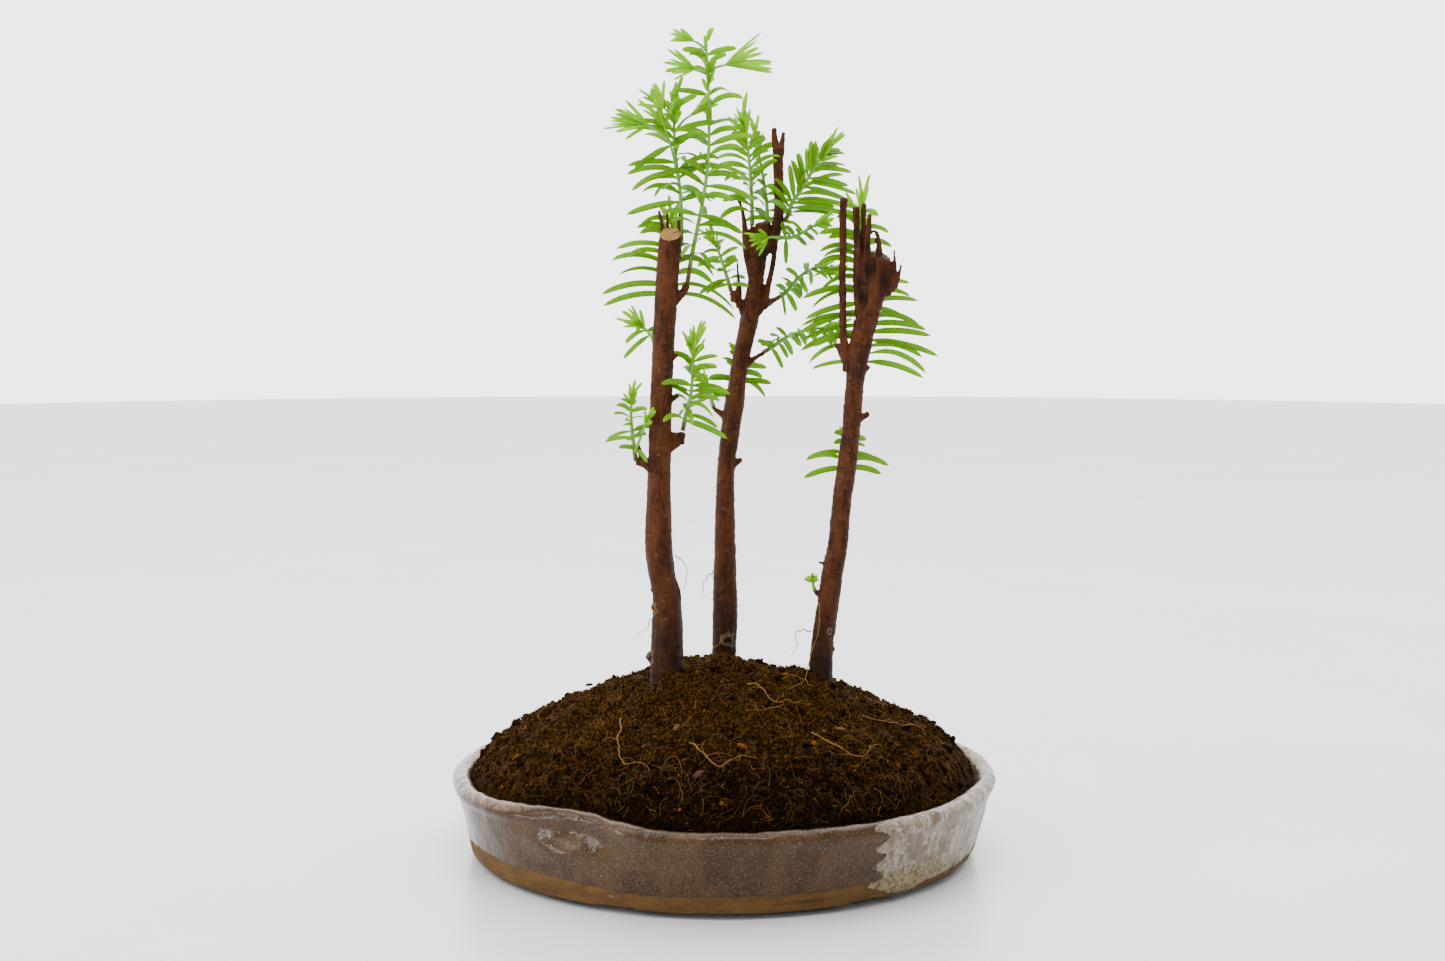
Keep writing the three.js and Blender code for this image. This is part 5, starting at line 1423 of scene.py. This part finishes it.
def make_stem(stems):
    heap = Heap()
    for _, line, is_twig in stems:
        rows = max(int(line.length), 6)
        shares = np.concatenate([np.repeat(np.linspace(0, 1, rows), 10), [0, 1]])
        tone = np.column_stack([0.5 + 0.5 * shares if is_twig else shares, shares, shares])
        heap.add(*tube(line, stem_radius(is_twig, 1.12), 10, rows), tone=tone)
    return heap.mesh("stem")


def make_shoots(leaf_material, stem_material):
    room = Room()
    for name, trunk in TRUNKS.items():
        for limb in trunk["limbs"]:
            room.take(name, *limb_line(limb), 6 * len(limb))
    shoots = {name: stem_lines(shoot) for name, shoot in SHOOTS.items()}
    for name, stems in shoots.items():
        for _, line, is_twig in stems:
            room.take(name, line, stem_radius(is_twig), 40)
    grown = {name: Heap() for name in shoots}
    plans = (lambda own, seed: strayed(leaf_plan(own, seed), seed + 250)), extra_plan
    for plan in plans:
        for index, (name, stems) in enumerate(shoots.items(), 1):
            room.settle()
            for number, (own, line, _) in enumerate(stems):
                seed = 100 * index + number * 13.7
                for place in plan(own, seed):
                    blade = find_leaf(room, name, place, line)
                    if blade:
                        add_blade(grown[name], blade, place, chance(seed + place["around"]))
    for name, stems in shoots.items():
        leaves = piece(name + "_leaves", grown[name].mesh("leaves"), leaf_material, (name,))
        stem = piece(name + "_stem", make_stem(stems), stem_material, (name,))
        check_place(name, leaves, stem)


def check_place(node, *things):
    """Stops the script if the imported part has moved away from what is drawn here."""
    low, high = cad_box(node)
    places = np.vstack([places_of(thing.data) for thing in things])
    if max(np.abs(places.min(0) - low).max(), np.abs(places.max(0) - high).max()) > PLACE_TOLERANCE:
        raise ValueError(f"{node} is not where the CAD has it")


# Fine roots and hairs on the trunks and at their feet. A height of 0 stands for the top of the soil.
HAIRS = [
    [(-20.4, -26, 133.8), (-16.1, -26.5, 130.3), (-15.7, -26.5, 123), (-17, -26.5, 118.6)],
    [(-29, -27.4, 111.8), (-31.1, -28, 104), (-36.7, -28.5, 99.3)],
    [(-4.3, 21, 120.4), (-8.8, 20.5, 115.3), (-7.9, 20.5, 108)],
    [(38.9, -16, 99.1), (32.4, -17, 99.1), (32, -18, 93), (29.4, -18, 88.6)],
    [(41.9, -17.4, 112), (42.4, -17.9, 102.4), (38.5, -20, 90.5), (34.6, -24, 0), (28.5, -30, 0), (24.2, -42, 0),
     (17.3, -50, 0), (9.3, -52, 0)],
    [(26, -14, 0), (33, -20, 0), (39, -28, 0)],
    [(-4.2, 14.6, 86), (0, 14.4, 89.5), (2.9, 14.9, 92)],
]


def make_hairs(material):
    heap = Heap()
    for number, hair in enumerate(HAIRS):
        random = np.random.default_rng(300 + number)
        line = line_through([
            place if place[2] else on_soil(*np.array(place[:2], float)[:, None], 0)[0] + UP * 1.3 for place in hair])
        kinked = line.at(np.linspace(0, 1, 12))
        kinked[1:-1] += random.normal(0, 0.35, (10, 3))
        heap.add(*tube(line_through(kinked, 6), tapered(0.27, 0.6), 5, 40), tone=(0.9, 0.5, 0))
    piece("root_hairs", heap.mesh("hairs"), material)


# ---- Scene ----


CAMERA_PLACE = (0, -0.8795, 0.2447)
CAMERA_TILT = 5.28
LENS = 50
SENSOR_WIDTH = 36
FLOOR_RADIUS = 4.0


def area_light(name, place, target, power, wide, high=None):
    """A soft lamp, square unless it has a height; the camera doesn't see it."""
    data = bpy.data.lights.new(name, "AREA")
    data.energy = power
    data.size = wide
    if high:
        data.shape = "RECTANGLE"
        data.size_y = high
    lamp = linked(name, data)
    lamp.location = place
    lamp.visible_camera = False
    lamp.rotation_euler = (Vector(target) - Vector(place)).to_track_quat("-Z", "Y").to_euler()


def make_studio():
    """A bright backdrop behind, a dimmer room in front, four lamps and a pale floor."""
    world = bpy.data.worlds.new("studio")
    world.use_nodes = True
    tree = world.node_tree
    direction = add_node(tree, "TexCoord", {}, "Generated")
    backward = add_node(tree, "SeparateXYZ", {"Vector": direction}, "Y")
    background = tree.nodes["Background"].inputs
    join(tree, background["Color"], (0.985, 0.985, 1.0, 1))
    join(tree, background["Strength"], ramp(tree, backward, 0.1, 0.9, 1.0, 4.0))
    bpy.context.scene.world = world
    area_light("window", (-1.2, -0.5, 1.1), (0, 0, 0.12), 13, 0.8, 1.0)
    area_light("glint", (-1.3, -0.52, 0.14), (-0.06, -0.1, 0.02), 4, 0.05, 0.06)
    area_light("strip", (0.04, -0.55, 1.25), (0, -0.1, 0.03), 6, 0.8, 0.02)
    area_light("overhead", (0.1, 0.3, 1.6), (0, 0, 0.1), 24, 1.8)

    f = Finish("pale_floor", Roughness=0.28)
    f.set(Base_Color=f.mix(f.step(f.noise(160, 4, 0.6), 0.35, 0.75), "e6e7e9", "eceded"))
    mesh = reworked(
        bpy.data.meshes.new("floor"),
        lambda bm: bmesh.ops.create_circle(bm, cap_ends=True, segments=96, radius=FLOOR_RADIUS))
    mesh.materials.append(f.material)
    linked("floor", mesh)


def make_camera():
    """Where the photo was taken from, looking a little down."""
    data = bpy.data.cameras.new("camera")
    data.lens = LENS
    data.sensor_width = SENSOR_WIDTH
    camera = linked("camera", data)
    camera.location = CAMERA_PLACE
    camera.rotation_euler = (math.radians(90 - CAMERA_TILT), 0, 0)
    bpy.context.scene.camera = camera


def dress_cad(names, material):
    for name in names:
        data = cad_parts[name].data
        data.materials.clear()
        data.materials.append(material)


make_camera()
make_studio()
soil, fibre, wood = coir_soil(), coir_fibre(), bark()
make_pot(glazed_stoneware())
make_soil(soil)
make_crumbs(soil)
make_fibres(fibre)
make_root_fibres(fibre)
make_bark_chips(wood)
for trunk_name in TRUNKS:
    make_trunk(trunk_name, wood)
make_shoots(leaf(), green_stem())
make_hairs(fibre)
dress_cad(("drain_mesh_left", "drain_mesh_right"), black_plastic())
dress_cad(("mesh_wire_left", "mesh_wire_right"), clip_wire())
